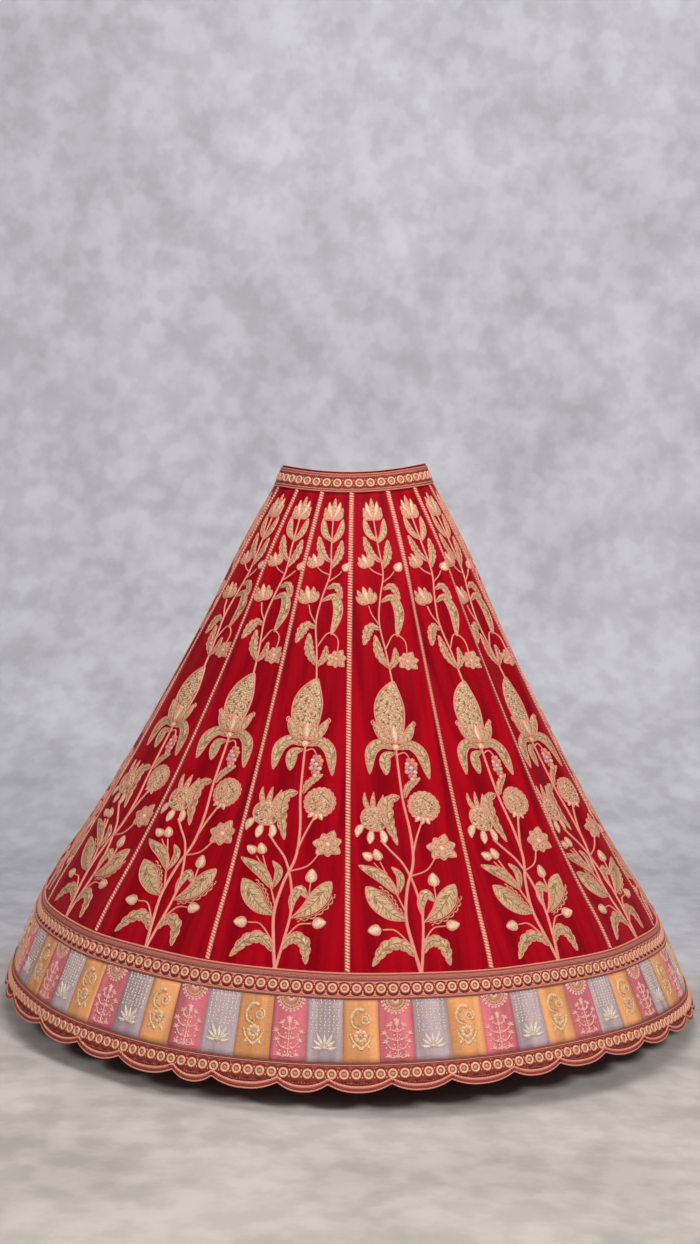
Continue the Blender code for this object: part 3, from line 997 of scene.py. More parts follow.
def shaded(colour, factor):
    """A colour made lighter or darker."""
    return tuple(min(value * factor, 1) for value in colour)


def silk(name, colour, slub=1, fold_shade_share=0.68):
    """Plain woven silk with slubs along the weft and a low sheen. Its colour is painted lighter
    and darker in long bands up the cloth, as painted shade and light of soft folds.
    """
    finish = Finish(name, colour, 0.5, Specular_IOR_Level=0.14, Sheen_Weight=0.05,
                    Sheen_Roughness=0.35, Sheen_Tint=opaque(shaded(colour, 1.8)),
                    Specular_Tint=opaque(shaded(colour, 1.6)))
    across, along, uv = finish.cloth_map()
    thread = FULL_TURN / SILK_THREAD
    weave = (across * thread).sine() * (along * thread).sine() * 0.5 + 0.5
    streaks = finish.cloud(uv, 1, 3, (60, 1400, 1))
    threads = finish.cloud(uv, 1, 2, (900, 14, 1))
    # painted shade and light of soft folds: long bands up the cloth, painted darker and lighter
    painted_fold_shade = finish.cloud(uv, 1, 2, (34, 2.6, 1))
    slub_tone_and_fold_shade = (streaks.between(0.4, 0.7) * (0.16 * slub) + threads.between(0.35, 0.7) * 0.16
            + painted_fold_shade.between(0.34, 0.66) * fold_shade_share)
    # a darker and a lighter copy of the silk colour, mixed partly by random slub and thread tone
    # and partly by the painted fold shade
    colours = finish.blend(slub_tone_and_fold_shade.least(1), shaded(colour, 0.6), shaded(colour, 1.34))
    return finish.look(colours, streaks * 0.2 + 0.36, weave * 0.5 + streaks * (0.4 * slub),
                       0.00025, 0.7)


def thread_fill(name, colour, dark, light, hatch=1, metallic=0.25):
    """Laid metallic thread, with darker strokes, painted shade in the grooves between the rows,
    and glints on them.
    """
    finish = Finish(name, colour, 0.42, Metallic=metallic, Specular_IOR_Level=0.4)
    across, along, uv = finish.cloth_map()
    slanted = along + abs(across) * 0.8
    rows = slanted.waves(LAID_THREAD)
    strokes, glints = (
        finish.cloud(finish.node("ShaderNodeCombineXYZ", {0: slanted, 1: across * share}),
                     scale, detail)
        for share, scale, detail in ((0.3, 330, 1), (0.45, 410, 2)))
    grain = finish.cloud(uv, 1100, 2)
    # the dark colour falls on the strokes and, as painted shade, in the grooves between the rows
    # of the relief
    mask = strokes.between(0.5, 0.64) * (0.95 * hatch) + (1 - rows).between(0.6, 1) * 0.35
    body = finish.blend(glints.between(0.52, 0.66) * 0.8, colour, light)
    relief = rows * 0.6 + grain * 0.4 + (1 - strokes.between(0.45, 0.65)) * 0.8
    return finish.look(finish.blend(mask.least(1), body, dark), grain * 0.25 + 0.34, relief,
                       0.0007)


def cord_thread(name, colour, dark, pitch=0.0036):
    """Two strands of thread laid round each other, with the grooves between them painted darker as
    painted shade.
    """
    finish = Finish(name, colour, 0.45, Metallic=0.2, Specular_IOR_Level=0.4)
    across, along, uv = finish.cloth_map()
    twist = (along + across * 1.1).waves(pitch)
    grain = finish.cloud(uv, 600, 2)
    # painted shade: the grooves of the twist get the darker colour, with random darker grain as
    # well
    mask = (1 - twist).between(0.45, 1) * 0.75 + grain.between(0.48, 0.72) * 0.35
    return finish.look(finish.blend(mask.least(1), colour, dark), grain * 0.2 + 0.38,
                       twist + grain * 0.3, 0.0007)


def woven_lace(name, colour, fleck, amount=0.8, pitch=0.002):
    """A close ground with flecks of metallic thread."""
    finish = Finish(name, colour, 0.6, Specular_IOR_Level=0.25)
    across, along, uv = finish.cloth_map()
    rib, line = across.waves(pitch), along.waves(pitch * 1.3)
    worn = finish.cloud(uv, 420, 2)
    flecks = (rib * line).between(0.5, 0.9) * worn.between(0.4, 0.58)
    return finish.look(finish.blend(flecks * amount, colour, fleck), 0.65 - flecks * 0.2,
                       rib * 0.5 + line * 0.5 + flecks, 0.0005)


def studio_paint(floor, wall):
    """A softly mottled floor that turns into the backdrop."""
    finish = Finish("Studio paint", wall, 0.85, Specular_IOR_Level=0.12)
    place = finish.node("ShaderNodeTexCoord", output="Object")
    back = finish.split(place)[1]
    broad, soft, fine = (finish.cloud(place, scale, detail)
                         for scale, detail in ((1.3, 4), (5, 6), (17, 5)))
    mottle = (broad.between(0.34, 0.66) * 0.26 + soft.between(0.36, 0.64) * 0.36
              + fine.between(0.36, 0.64) * 0.38)
    depth = (back + soft * 0.4 - 0.2).between(-0.2, 0.6)
    low, high = (finish.blend(depth, shaded(floor, near), shaded(wall, far))
                 for near, far in ((0.76, 0.8), (1.22, 1.18)))
    return finish.look(finish.blend(mottle, low, high))


RECIPES = {
    # maker, name, then its colours and settings. A dye is named, or given with how light it is
    "silk": (silk, "Crimson silk", "silk"),
    "gold": (thread_fill, "Antique gold thread", "gold_thread", "olive_thread", "cream_thread"),
    # For cord_thread the second colour is a darker copy of the thread colour, painted shade in the
    # grooves of the twist.
    "rose": (cord_thread, "Rose gold cord", "rose_thread", ("rose_thread", 0.55)),
    "cream": (thread_fill, "Cream gold thread", "cream_thread", ("gold_thread", 0.7),
              ("cream_thread", 1.15), 0.6),
    "orange needle": (thread_fill, "Warm cream thread", (0.84, 0.55, 0.31), (0.5, 0.24, 0.09),
                      "cream_thread", 0.6),
    "pink needle": (thread_fill, "Rose cream thread", (0.86, 0.5, 0.42), (0.62, 0.22, 0.2),
                    "cream_thread", 0.6),
    "lilac needle": (thread_fill, "Ivory thread", (0.78, 0.66, 0.54), (0.5, 0.4, 0.34),
                     ("cream_thread", 1.1), 0.6),
    "shade": (cord_thread, "Olive thread", "olive_thread", ("olive_thread", 0.5)),
    "pink thread": (thread_fill, "Pink thread", (0.6, 0.16, 0.24), (0.3, 0.05, 0.1),
                    (0.8, 0.4, 0.45), 0.4, 0),
    "lilac thread": (thread_fill, "Lilac thread", (0.4, 0.3, 0.55), (0.18, 0.12, 0.28),
                     (0.6, 0.5, 0.7), 0.4, 0),
    "orange thread": (thread_fill, "Orange thread", (0.8, 0.34, 0.12), (0.4, 0.12, 0.05),
                      (0.9, 0.55, 0.3), 0.4, 0),
    "maroon": (woven_lace, "Maroon lace ground", "lace_ground", ("rose_thread", 0.45), 0.5),
    "rose strip": (woven_lace, "Rose woven strip", ("rose_thread", 0.66), "rose_thread"),
    "ring": (cord_thread, "Pale ring thread", "ring_thread", ("ring_thread", 0.42), 0.0024),
    "ring centre": (thread_fill, "Ring centre thread", ("gold_thread", 0.66),
                    ("rose_thread", 0.4), "cream_thread", 1),
    "net": (woven_lace, "Hem net", ("lace_ground", 0.7), ("rose_thread", 0.9), 0.6, 0.005),
    "head": (woven_lace, "Ribbed lace head", (0.3, 0.075, 0.052), ("rose_thread", 1.25), 1,
             0.004),
    "scallop silk": (woven_lace, "Scallop silk", "lace_ground", ("rose_thread", 0.7), 0.6,
                     0.004),
    "dash": (woven_lace, "Dark dash thread", ("lace_ground", 0.55), "lace_ground"),
    "braid": (cord_thread, "Rose gold braid", "rose_thread", ("rose_thread", 0.5), 0.0022),
    "braid ground": (woven_lace, "Braid ground", ("rose_thread", 0.28), ("rose_thread", 0.55)),
    "orange": (silk, "Orange raw silk", "patch_orange", 1.5, 0.5),
    "pink": (silk, "Pink raw silk", "patch_pink", 1.5, 0.5),
    "lilac": (silk, "Lilac raw silk", "patch_lilac", 1.5, 0.5),
}
FINISHES = {}


def dyed(value):
    """A dye's colour from the sidebar. A value that names no dye is left as it is."""
    value = (value, 1) if isinstance(value, str) else value
    if isinstance(value, tuple) and isinstance(value[0], str):
        value = shaded(getattr(bpy.context.scene.lehenga_colours, value[0]), value[1])
    return value


def finish_named(key):
    """Each finish is made once."""
    if key not in FINISHES:
        maker, name, *values = RECIPES[key]
        FINISHES[key] = maker(name, *(dyed(value) for value in values))
    return FINISHES[key]


def needle_finishes(cream="cream"):
    """The finishes of needlework, in the order of its threads."""
    return [finish_named(key) for key in
            ("gold", "rose", cream, "shade", "pink thread", "lilac thread", "orange thread")]


# ---- repeats by Geometry Nodes

class Repeats(Nodes):
    """A tree that sets one small form at each point, turned to lie on the cloth."""

    def __init__(self, name, **sizes):
        self.tree = bpy.data.node_groups.new(name, "GeometryNodeTree")
        self.name_socket("Geometry", "Geometry")
        for size, value in sizes.items():
            kind = "Int" if isinstance(value, int) else "Float"
            self.name_socket(size.replace("_", " ").capitalize(), kind).default_value = value
        self.name_socket("Finish", "Material")
        self.name_socket("Geometry", "Geometry", "OUTPUT")
        self.given = self.tree.nodes.new("NodeGroupInput").outputs

    def name_socket(self, label, kind, way="INPUT"):
        """Give the tree one more input or output."""
        return self.tree.interface.new_socket(label, in_out=way, socket_type=f"NodeSocket{kind}")

    def turn(self, axis, values, **settings):
        """Turn an axis of the form to the direction kept under a name."""
        values["Vector"] = self.node("GeometryNodeInputNamedAttribute",
                                     {"Name": values["Vector"]}, data_type="FLOAT_VECTOR")
        return self.node("FunctionNodeAlignRotationToVector", values, axis=axis, **settings)

    def finish(self, form):
        """Place the form at the points, make the copies real and give them their finish."""
        upright = self.turn("Z", {"Vector": "out"})
        turned = self.turn("X", {"Rotation": upright, "Vector": "along"}, pivot_axis="Z")
        smooth = self.node("GeometryNodeSetShadeSmooth", {"Geometry": form})
        copies = self.node("GeometryNodeInstanceOnPoints", {
            "Points": self.given["Geometry"], "Instance": smooth, "Rotation": turned})
        real = self.node("GeometryNodeRealizeInstances", {0: copies})
        painted = self.node("GeometryNodeSetMaterial", {
            "Geometry": real, "Material": self.given["Finish"]})
        self.node("NodeGroupOutput", {0: painted})
        return self.tree


def ring_tree():
    """A small ring of thread."""
    repeats = Repeats("Lace ring", ring_radius=0.0062, thread_radius=0.0016)
    circle_of = "GeometryNodeCurvePrimitiveCircle"
    ring = repeats.node(circle_of, {"Resolution": 14, "Radius": repeats.given["Ring radius"]})
    thread = repeats.node(circle_of, {"Resolution": 6, "Radius": repeats.given["Thread radius"]})
    return repeats.finish(repeats.node("GeometryNodeCurveToMesh", {
        "Curve": ring, "Profile Curve": thread}))


def bead_tree():
    """A small rounded stitch or bead of a length, width and rise."""
    repeats = Repeats("Rounded stitch", segments=8, rings=4, length=0.006, width=0.003,
                      rise=0.002)
    given = repeats.given
    ball = repeats.node("GeometryNodeMeshUVSphere", {
        "Segments": given["Segments"], "Rings": given["Rings"], "Radius": 0.5})
    size = repeats.node("ShaderNodeCombineXYZ", {
        0: given["Length"], 1: given["Width"], 2: given["Rise"]})
    return repeats.finish(repeats.node("GeometryNodeTransform", {
        "Geometry": ball, "Scale": size}))


TREES = {}


def repeat_piece(name, maker, across, height, out, along, finish, **sizes):
    """A piece made of one small form at many places. along is its direction on the cloth."""
    if maker not in TREES:
        TREES[maker] = maker()
    points = skirt(across, height, out)
    ends = skirt(across + along[0] / round_rate(across, height), height + along[1], out)
    mesh = bpy.data.meshes.new(name)
    mesh.from_pydata(points.tolist(), [], [])
    for label, values in (("out", outward(across, height)), ("along", ends - points)):
        layer = mesh.attributes.new(label, "FLOAT_VECTOR", "POINT")
        layer.data.foreach_set("vector", values.astype(np.float32).ravel())
    piece = in_scene(name, mesh)
    modifier = piece.modifiers.new("Repeats", "NODES")
    modifier.node_group = TREES[maker]
    sizes["finish"] = finish
    for item in TREES[maker].interface.items_tree:
        key = item.name.replace(" ", "_").lower()
        if key in sizes:
            modifier[item.identifier] = sizes[key]
    plain_copy(piece)
    piece.data.materials[0] = finish
    return piece


# ---- the pieces

def numbered(stem, number):
    """A name with a number from 01 up."""
    return f"{stem}_{number + 1:02d}"


def make_kali(number):
    """One flared panel as a thin shell."""
    heights = np.linspace(KALI_LOWER_EDGE, WAISTBAND_BOTTOM - LAID_ON, KALI_ROWS)[:, None]
    across, height = np.broadcast_arrays(
        number + np.linspace(SEAM_GAP, 1 - SEAM_GAP, KALI_COLUMNS + 1), heights)
    reach = (across - number - 0.5) * round_rate(number + 0.5, height)
    kali = Gathered()
    kali.gather(skirt(across, height), stacked(reach, slant_of(height)))
    piece = give_wall(kali.piece(numbered("kali_silk", number), [finish_named("silk")]), SILK_WALL)
    return settle(piece, [numbered("kali", number)])


def kali_cut(number):
    """Flat width at the hem, length and area of a kali."""
    ends = np.array([KALI_LOWER_EDGE, WAISTBAND_BOTTOM])
    hem, waist = round_rate(np.full(2, number + 0.5), ends)
    length = float(slant_of(ends[1]) - slant_of(ends[0]))
    return float(hem), length, float((hem + waist) / 2 * length)


def make_kali_needlework(numbers):
    """The climbing spray on each kali."""
    work = kali_needlework()
    for points in work.points:
        points[:, 2] *= KALI_RELIEF
    foot = float(slant_of(BORDER_TOP))
    return [settle(work.piece(numbered("kali_needlework", number), needle_finishes(),
                              [(number + 0.5, foot)]))
            for number in numbers]


def make_seam_braid(seam, sizes):
    """A plait of slanted stitches on a flat tape along one seam."""
    width = sizes.braid_width
    foot = float(slant_of(BORDER_TOP))
    length = (float(slant_of(WAISTBAND_BOTTOM)) - foot) / CM - 0.04
    tape = Needlework()
    tape.run(stacked(0, np.linspace(0.02, length, 90)), width / 2 / CM,
             [(-1, 0), (-0.8, 0.06), (0.8, 0.06), (1, 0)], 0)
    piece = tape.piece(numbered("seam_tape", seam), [finish_named("braid ground")],
                       [(float(seam), foot)])
    settle(piece, [numbered("seam_braid", seam)])
    steps = int(length * CM / sizes.braid_stitch)
    heights = height_of(foot + (np.arange(steps) + 0.5) * length * CM / steps)
    plait = repeat_piece(numbered("seam_plait", seam), bead_tree, np.full(steps, float(seam)),
                         heights, 0.001, (0.006, -0.0026), finish_named("braid"), segments=8,
                         rings=6, length=width * 1.04, width=sizes.braid_stitch * 0.84,
                         rise=0.0028)
    return [piece, settle(plait)]


def ring_row(stem, count, height, sizes, radius, dash_height=None):
    """A row of thread rings with domed centres and short links between them."""
    dome = radius * 1.2
    links = [along_cloth(height, hand)(radius * 0.8 / CM) for hand in HANDS]
    link = dict(segments=6, rings=4, length=0.0026, width=radius * 0.62, rise=0.0024)
    rows = [("rings", ring_tree, height, 0.0017, "ring", 0.5,
             dict(ring_radius=radius, thread_radius=sizes.ring_thread)),
            ("ring_centres", bead_tree, height, 0.0012, "ring centre", 0.5,
             dict(segments=10, rings=6, length=dome, width=dome, rise=0.0026)),
            ("lower_links", bead_tree, links[0], 0.0014, "braid", 0, link),
            ("upper_links", bead_tree, links[1], 0.0014, "braid", 0, link)]
    if dash_height is not None:
        rows.append(("dashes", bead_tree, dash_height, 0.0022, "dash", 0.5,
                     dict(segments=8, rings=4, length=radius * 1.5, width=0.0026, rise=0.002)))
    pieces = []
    for part, maker, at_height, out, finish, shift, form in rows:
        across = across_of((np.arange(count) + shift) * FULL_TURN / count, at_height)
        piece = repeat_piece(f"{stem}_{part}", maker, across, np.full(count, at_height), out,
                             (0.004, 0), finish_named(finish), **form)
        pieces.append(settle(piece))
    return pieces


FLAT = [(0, LAID_ON), (0, 0.0011), (1, 0.0011), (1, LAID_ON), (0, LAID_ON)]
TRIM_FINISHES = ("rose", "rose strip", "braid ground", "silk", "net", "head", "scallop silk")
CORD, STRIP, BROWN, SILK, NET, HEAD, DEEP = range(7)


def raised(low, high):
    """Cross profile of a flat woven strip with rounded edges."""
    return [(0, low), (0.06, high), (0.94, high), (1, low)]


def ground_band(name, ground, lower, upper, replaced):
    """The plain ground of a band of lace."""
    ground.add(lower, upper, FLAT)
    return settle(ground.piece(name, [finish_named("maroon")]), [replaced])


def trim_piece(strips, name, replaced=()):
    """The raised strips and cords of a band of lace."""
    finishes = [finish_named(key) for key in TRIM_FINISHES]
    return settle(strips.piece(name, finishes), replaced)


def make_border_lace(sizes):
    """The upper band of ring lace, with its ribbed head."""
    count = sizes.border_rings
    at = along_cloth(PATCHWORK_TOP)
    ground = ground_band("border_lace_band", Strips(count * 4), at(0.02), at(4.5),
                         "border_ring_lace")
    trim = Strips(count * 8)
    strip = raised(0.001, 0.0024)
    trim.cord(at(0.1), 0.0024, 0.0024, BROWN, 0.0006)
    trim.cord(at(0.34), 0.0026, 0.0028, CORD, 0.0006)
    trim.add(at(0.48), trim.wavy(at(0.58), at(1.3), count), strip, STRIP)
    trim.add(trim.wavy(at(2.86), at(2.28), count), at(3.02), strip, STRIP)
    trim.cord(at(3.12), 0.0018, 0.002, BROWN, 0.0008)
    trim.add(at(3.24), at(4.12), raised(0.0009, 0.0018), HEAD)
    for middle in (3.46, 3.69, 3.92):
        trim.cord(at(middle), 0.0012, 0.0012, STRIP, 0.0014)
    trim.cord(at(4.32), 0.0034, 0.003, CORD, 0.0008)
    band = [trim_piece(trim, "border_lace_trim"),
            *ring_row("border", count, at(1.82), sizes, sizes.ring_radius, at(0.8))]


def make_hem_lace(sizes):
    """The lowest band of ring lace, with its scallops and their binding."""
    count = sizes.hem_rings
    at = along_cloth(PATCHWORK_BOTTOM, -1)
    band, trim, piping = (Strips(SCALLOP_COUNT * 40) for _ in range(3))
    edge = scallop_edge(angle_at(trim.across, 0))
    ground = ground_band("hem_lace_band", band, edge + 0.0004, at(0.02), "scalloped_hem_lace")
    trim.cord(at(0.12), 0.0022, 0.0026, BROWN, 0.0006)
    trim.cord(at(0.36), 0.0024, 0.0024, CORD, 0.0006)
    trim.add(trim.wavy(at(0.72), at(1.24), count), at(0.54), raised(0.001, 0.0022), HEAD)
    bound, inner = edge + sizes.binding_width, edge + sizes.binding_width * 0.6
    trim.add(bound, np.maximum(trim.wavy(at(3.2), at(2.5), count), bound + 0.0004),
             raised(0.0009, 0.0019), NET)
    dashes = ring_row("hem", count, at(1.82), sizes, sizes.ring_radius * 1.06, at(2.98))
    piping.add(inner, bound, [(0, 0.0009), (0.15, 0.0028), (0.5, 0.0034), (0.85, 0.0028),
                              (1, 0.0009)], CORD)
    piping.add(edge + 0.0022, inner, raised(0.0009, 0.0021), DEEP)
    piping.roll(edge + 0.0011, 0.0014, CORD)
    trims = [trim_piece(trim, "hem_lace_trim"),
             trim_piece(piping, "scallop_piping", ["scallop_binding"])]


def make_waistband(sizes):
    """The fitted band and the ring lace that covers it."""
    count = sizes.waist_rings
    strips = Strips(count * 6)
    strips.add(WAISTBAND_BOTTOM + LAID_ON, WAISTBAND_TOP, [(0, 0), (0.5, 0), (1, 0)])
    band = give_wall(strips.piece("waistband_silk", [finish_named("silk")]), 0.002)
    settle(band, ["waistband"])

    def at(centimetres):
        return WAISTBAND_BOTTOM + centimetres / 4 * (WAISTBAND_TOP - WAISTBAND_BOTTOM)

    ground = ground_band("waist_lace_band", Strips(count * 6), at(0.05), at(3.7),
                         "waist_ring_lace")
    trim = Strips(count * 10)
    strip = raised(0.001, 0.0022)
    trim.cord(at(0.14), 0.0024, 0.0024, CORD, 0.0008)
    trim.add(at(0.26), trim.wavy(at(0.66), at(0.95), count), strip, HEAD)
    trim.add(trim.wavy(at(2.9), at(2.56), count), at(3.36), strip, HEAD)
    for middle in (0.5, 3.06):
        trim.cord(at(middle), 0.0014, 0.0016, CORD, 0.0016)
    trim.cord(at(3.48), 0.0024, 0.0024, CORD, 0.0008)
    trim.roll(at(3.9), 0.0013, SILK)
    lace = [trim_piece(trim, "waist_lace_trim"),
            *ring_row("waist", count, at(1.78), sizes, sizes.ring_radius * 1.1)]


def patches(kind):
    """The two side edges of each patch of a colour, counted in kalis."""
    number = 3 * np.arange(PATCH_TRIPLETS)[:, None] + PATCH_KINDS.index(kind) + np.arange(2)
    edges = np.radians(FIRST_PATCH_DEGREES + 120 / PATCH_TRIPLETS * number)
    return across_of(edges, (PATCHWORK_TOP + PATCHWORK_BOTTOM) / 2)


def make_patches(kind):
    """All the patches of one colour, each a small block pulled in at its seams."""
    blocks = Gathered()
    part, rise = np.meshgrid(parts(PATCH_COLUMNS), parts(PATCH_ROWS))
    bottom, top = PATCHWORK_BOTTOM + LAID_ON, PATCHWORK_TOP - LAID_ON
    height = bottom + (top - bottom) * rise
    pillow = (1 - np.abs(2 * part - 1) ** 6) * (1 - np.abs(2 * rise - 1) ** 10)
    for left, right in patches(kind):
        across = left + (right - left) * part
        middle = (left + right) / 2
        reach = (across - middle) * round_rate(middle, height) + middle * PATCH_UV_STEP
        blocks.gather(skirt(across, height, LAID_ON + 0.0006 + 0.0011 * pillow),
                      stacked(reach, slant_of(height)))
    piece = give_wall(blocks.piece(f"patches_{kind}", [finish_named(kind)]), 0.0008)
    return settle(piece, ["patchwork_band"])


def make_patch_needlework(kind):
    """The raised motif on each patch of one colour."""
    work = {"orange": orange_motif, "pink": pink_motif, "lilac": lilac_motif}[kind]()
    for points in work.points:
        points[:, 2] = points[:, 2] * 0.75 + 0.17
    foot = float(slant_of(PATCHWORK_BOTTOM))
    places = [((left + right) / 2, foot) for left, right in patches(kind)]
    piece = work.piece(f"patch_needlework_{kind}", needle_finishes(f"{kind} needle"), places)
    return settle(piece)


# ---- the stage

CAMERA_PLACE = (-0.0055, -3.32, -0.066)
CAMERA_PITCH_DEGREES = 3.69
CAMERA_ROLL_DEGREES = 1.72
LENS = 47.46
FLOOR_GAP = 0.023
FLOOR_REACH = 7
BACKDROP_REACH = 1.52
BACKDROP_START = 0.85
BACKDROP_BEND = 1.35
BACKDROP_HEIGHT = 3.8
DAYLIGHT = (0.94, 0.95, 1, 1)
DAYLIGHT_STRENGTH = 0.22

LIGHTS = (
    # name, place, aimed at, size, watts, colour
    ("Left softbox", (-2.6, -2.7, 1.6), (0, 0, -0.8), 1, 54, (1, 0.985, 0.97)),
    ("Right softbox", (2.2, -2.9, 1.6), (0, 0, -0.8), 0.9, 92, (1, 0.985, 0.97)),
    ("Overhead", (0.2, -0.25, 2.8), (0, 0, -0.6), 1.8, 25, (1, 0.99, 0.98)),
    ("Front fill", (0, -4, 2), (0, 0, -0.7), 2, 18, (1, 0.98, 0.97)),
    ("Backdrop light", (0.2, -0.4, 2.7), (0.4, 2.4, 0.5), 2.4, 33, (0.98, 0.985, 1)),
)


def make_camera():
    """A camera behind the wearer, at waist height, looking slightly down."""
    data = bpy.data.cameras.new("Camera")
    data.lens = LENS
    camera = in_scene("Camera", data)
    camera.location = CAMERA_PLACE
    camera.rotation_euler = (math.radians(90 - CAMERA_PITCH_DEGREES),
                             -math.radians(CAMERA_ROLL_DEGREES), 0)
    bpy.context.scene.camera = camera


def make_lights():
    """Soft lamps, each aimed at a target, and an even light from all round."""
    for name, place, target, size, watts, colour in LIGHTS:
        data = bpy.data.lights.new(name, "AREA")
        data.size, data.energy, data.color = size, watts, colour
        light = in_scene(name, data)
        light.location = place
        x, y, z = np.subtract(place, target)
        light.rotation_euler = (math.atan2(math.hypot(x, y), z), 0, math.atan2(x, -y))
    world = bpy.data.worlds.new("Studio")
    world.use_nodes = True
    background = world.node_tree.nodes["Background"].inputs
    background["Color"].default_value = DAYLIGHT
    background["Strength"].default_value = DAYLIGHT_STRENGTH
    bpy.context.scene.world = world


def make_backdrop():
    """A wide floor, and a backdrop on it that curves up behind the skirt."""
    floor = float(CAD_BOUNDS[0][2]) - FLOOR_GAP
    turn = np.linspace(0, math.pi / 2, 16)
    back = BACKDROP_START + BACKDROP_BEND * np.append(np.sin(turn), 1)
    up = np.append(BACKDROP_BEND * (1 - np.cos(turn)), BACKDROP_HEIGHT)
    paint = studio_paint(dyed("floor"), dyed("backdrop"))
    for name, y, z, reach in (
            ("studio_floor", np.linspace(-FLOOR_REACH, FLOOR_REACH, 15), np.zeros(15),
             FLOOR_REACH),
            ("studio_backdrop", back, up, BACKDROP_REACH)):
        x, y = np.meshgrid(np.linspace(-reach, reach, 15), y)
        sheet = Gathered()
        sheet.gather(stacked(x, y, z[:, None] + floor), stacked(x, y))
        sheet.piece(name, [paint])


# ---- the add-on

def length(name, description, default):
    """A length that can be set in the sidebar."""
    return bpy.props.FloatProperty(name=name, description=description, default=default,
                                   min=0, unit="LENGTH", precision=4)


def rings(name, description, default):
    """A number of rings that can be set in the sidebar."""
    return bpy.props.IntProperty(name=name, description=description, default=default, min=10)


def dye(name, description, default):
    """A colour that can be set in the sidebar."""
    return bpy.props.FloatVectorProperty(name=name, description=description, default=default,
                                         size=3, min=0, max=1, subtype="COLOR")


class LehengaSizes(bpy.types.PropertyGroup):
    """Sizes of the trims."""

    braid_width: length("Braid width", "Width of the braid on each seam", 0.0096)
    braid_stitch: length("Braid stitch", "Step from one stitch of the braid to the next", 0.0056)
    ring_radius: length("Ring radius", "Radius of a ring in the lace", 0.0061)
    ring_thread: length("Ring thread", "Radius of the thread of a ring", 0.0022)
    binding_width: length("Binding width", "Width of the binding of the scallops", 0.01)
    border_rings: rings("Border rings", "Rings round the upper lace", 194)
    hem_rings: rings("Hem rings", "Rings round the scalloped lace", 214)
    waist_rings: rings("Waist rings", "Rings round the waistband", 44)


class LehengaColours(bpy.types.PropertyGroup):
    """Colours of the cloths and threads."""

    silk: dye("Silk", "Ground of the kalis", (0.29, 0.0021, 0.0078))
    gold_thread: dye("Gold thread", "Fill of leaves and flowers", (0.62, 0.395, 0.21))
    cream_thread: dye("Cream thread", "Petals and highlights", (0.82, 0.62, 0.41))
    olive_thread: dye("Olive thread", "Veins and shading", (0.23, 0.135, 0.045))
    rose_thread: dye("Rose thread", "Stems, outlines and braids", (0.93, 0.335, 0.25))
    ring_thread: dye("Ring thread", "Rings of the lace", (0.79, 0.375, 0.248))
    lace_ground: dye("Lace ground", "Ground of the ring lace", (0.25, 0.034, 0.018))
    patch_orange: dye("Orange patch", "Orange raw silk", (0.8, 0.345, 0.146))
    patch_pink: dye("Pink patch", "Pink raw silk", (0.665, 0.17, 0.2))
    patch_lilac: dye("Lilac patch", "Lilac raw silk", (0.475, 0.355, 0.372))
    floor: dye("Floor", "Studio floor", (0.49, 0.446, 0.408))
    backdrop: dye("Backdrop", "Studio backdrop", (0.535, 0.532, 0.57))


class LEHENGA_OT_kalis(bpy.types.Operator):
    """Make the sixteen flared panels, their climbing needlework and the braids on their seams"""

    bl_idname = "lehenga.kalis"
    bl_label = "Kalis, needlework and braids"

    def execute(self, context):
        sizes = context.scene.lehenga_sizes
        numbers = range(KALI_COUNT)
        silks = [make_kali(number) for number in numbers]
        sprays = make_kali_needlework(numbers)
        braids = [make_seam_braid(number, sizes) for number in numbers]
        for number in numbers:
            width, length, area = kali_cut(number)
        return {"FINISHED"}


class LEHENGA_OT_waistband(bpy.types.Operator):
    """Make the waistband and its ring lace"""

    bl_idname = "lehenga.waistband"
    bl_label = "Waistband"

    def execute(self, context):
        make_waistband(context.scene.lehenga_sizes)
        return {"FINISHED"}


class LEHENGA_OT_border(bpy.types.Operator):
    """Make the border's two bands of ring lace and the binding of the scallops"""

    bl_idname = "lehenga.border"
    bl_label = "Ring lace border"

    def execute(self, context):
        make_border_lace(context.scene.lehenga_sizes)
        make_hem_lace(context.scene.lehenga_sizes)
        return {"FINISHED"}


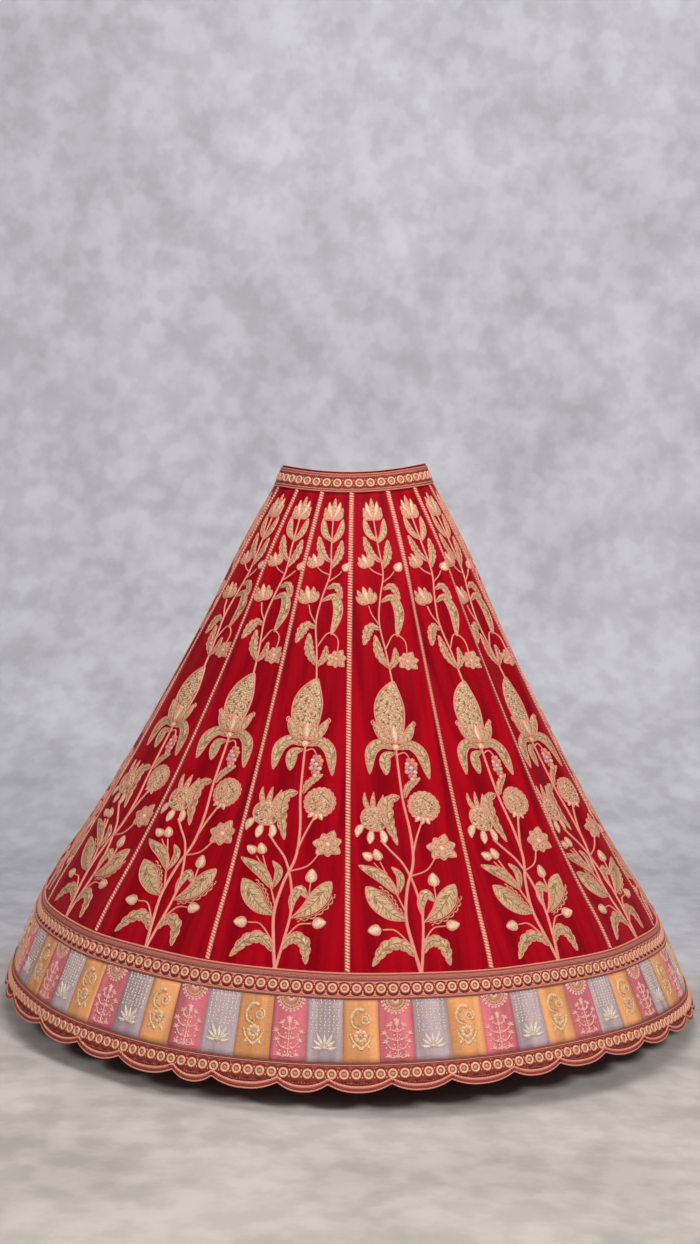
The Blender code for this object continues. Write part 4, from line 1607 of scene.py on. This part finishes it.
class LEHENGA_OT_patchwork(bpy.types.Operator):
    """Make the pieced blocks and their needlework"""

    bl_idname = "lehenga.patchwork"
    bl_label = "Patchwork"

    def execute(self, context):
        for kind in PATCH_KINDS:
            blocks = make_patches(kind)
            motifs = make_patch_needlework(kind)
        return {"FINISHED"}


class LEHENGA_OT_stage(bpy.types.Operator):
    """Set up the plain studio, its lights and the camera"""

    bl_idname = "lehenga.stage"
    bl_label = "Studio"

    def execute(self, context):
        make_camera()
        make_lights()
        make_backdrop()
        context.scene.view_settings.view_transform = "Standard"
        return {"FINISHED"}


class LEHENGA_PT_panel(bpy.types.Panel):
    """Lists the skirt's parts, sizes and colours"""

    bl_label = "Lehenga skirt"
    bl_idname = "LEHENGA_PT_panel"
    bl_space_type = "VIEW_3D"
    bl_region_type = "UI"
    bl_category = "Lehenga"

    def draw(self, context):
        layout = self.layout
        for operator in OPERATORS:
            layout.operator(operator.bl_idname)
        for group in (context.scene.lehenga_sizes, context.scene.lehenga_colours):
            box = layout.box()
            for name in group.__annotations__:
                box.prop(group, name)


OPERATORS = (LEHENGA_OT_stage, LEHENGA_OT_waistband, LEHENGA_OT_kalis, LEHENGA_OT_border,
             LEHENGA_OT_patchwork)
CLASSES = (LehengaSizes, LehengaColours, *OPERATORS, LEHENGA_PT_panel)


def register():
    """Add the sizes, colours, operators and panel to Blender."""
    for item in CLASSES:
        bpy.utils.register_class(item)
    bpy.types.Scene.lehenga_sizes = bpy.props.PointerProperty(type=LehengaSizes)
    bpy.types.Scene.lehenga_colours = bpy.props.PointerProperty(type=LehengaColours)


def unregister():
    """Take them away again."""
    del bpy.types.Scene.lehenga_sizes
    del bpy.types.Scene.lehenga_colours
    for item in reversed(CLASSES):
        bpy.utils.unregister_class(item)


def main():
    """Make the whole skirt and its studio."""
    register()
    bpy.ops.lehenga.stage()
    bpy.ops.lehenga.waistband()
    bpy.ops.lehenga.kalis()
    bpy.ops.lehenga.border()
    bpy.ops.lehenga.patchwork()


if __name__ == "__main__":
    main()
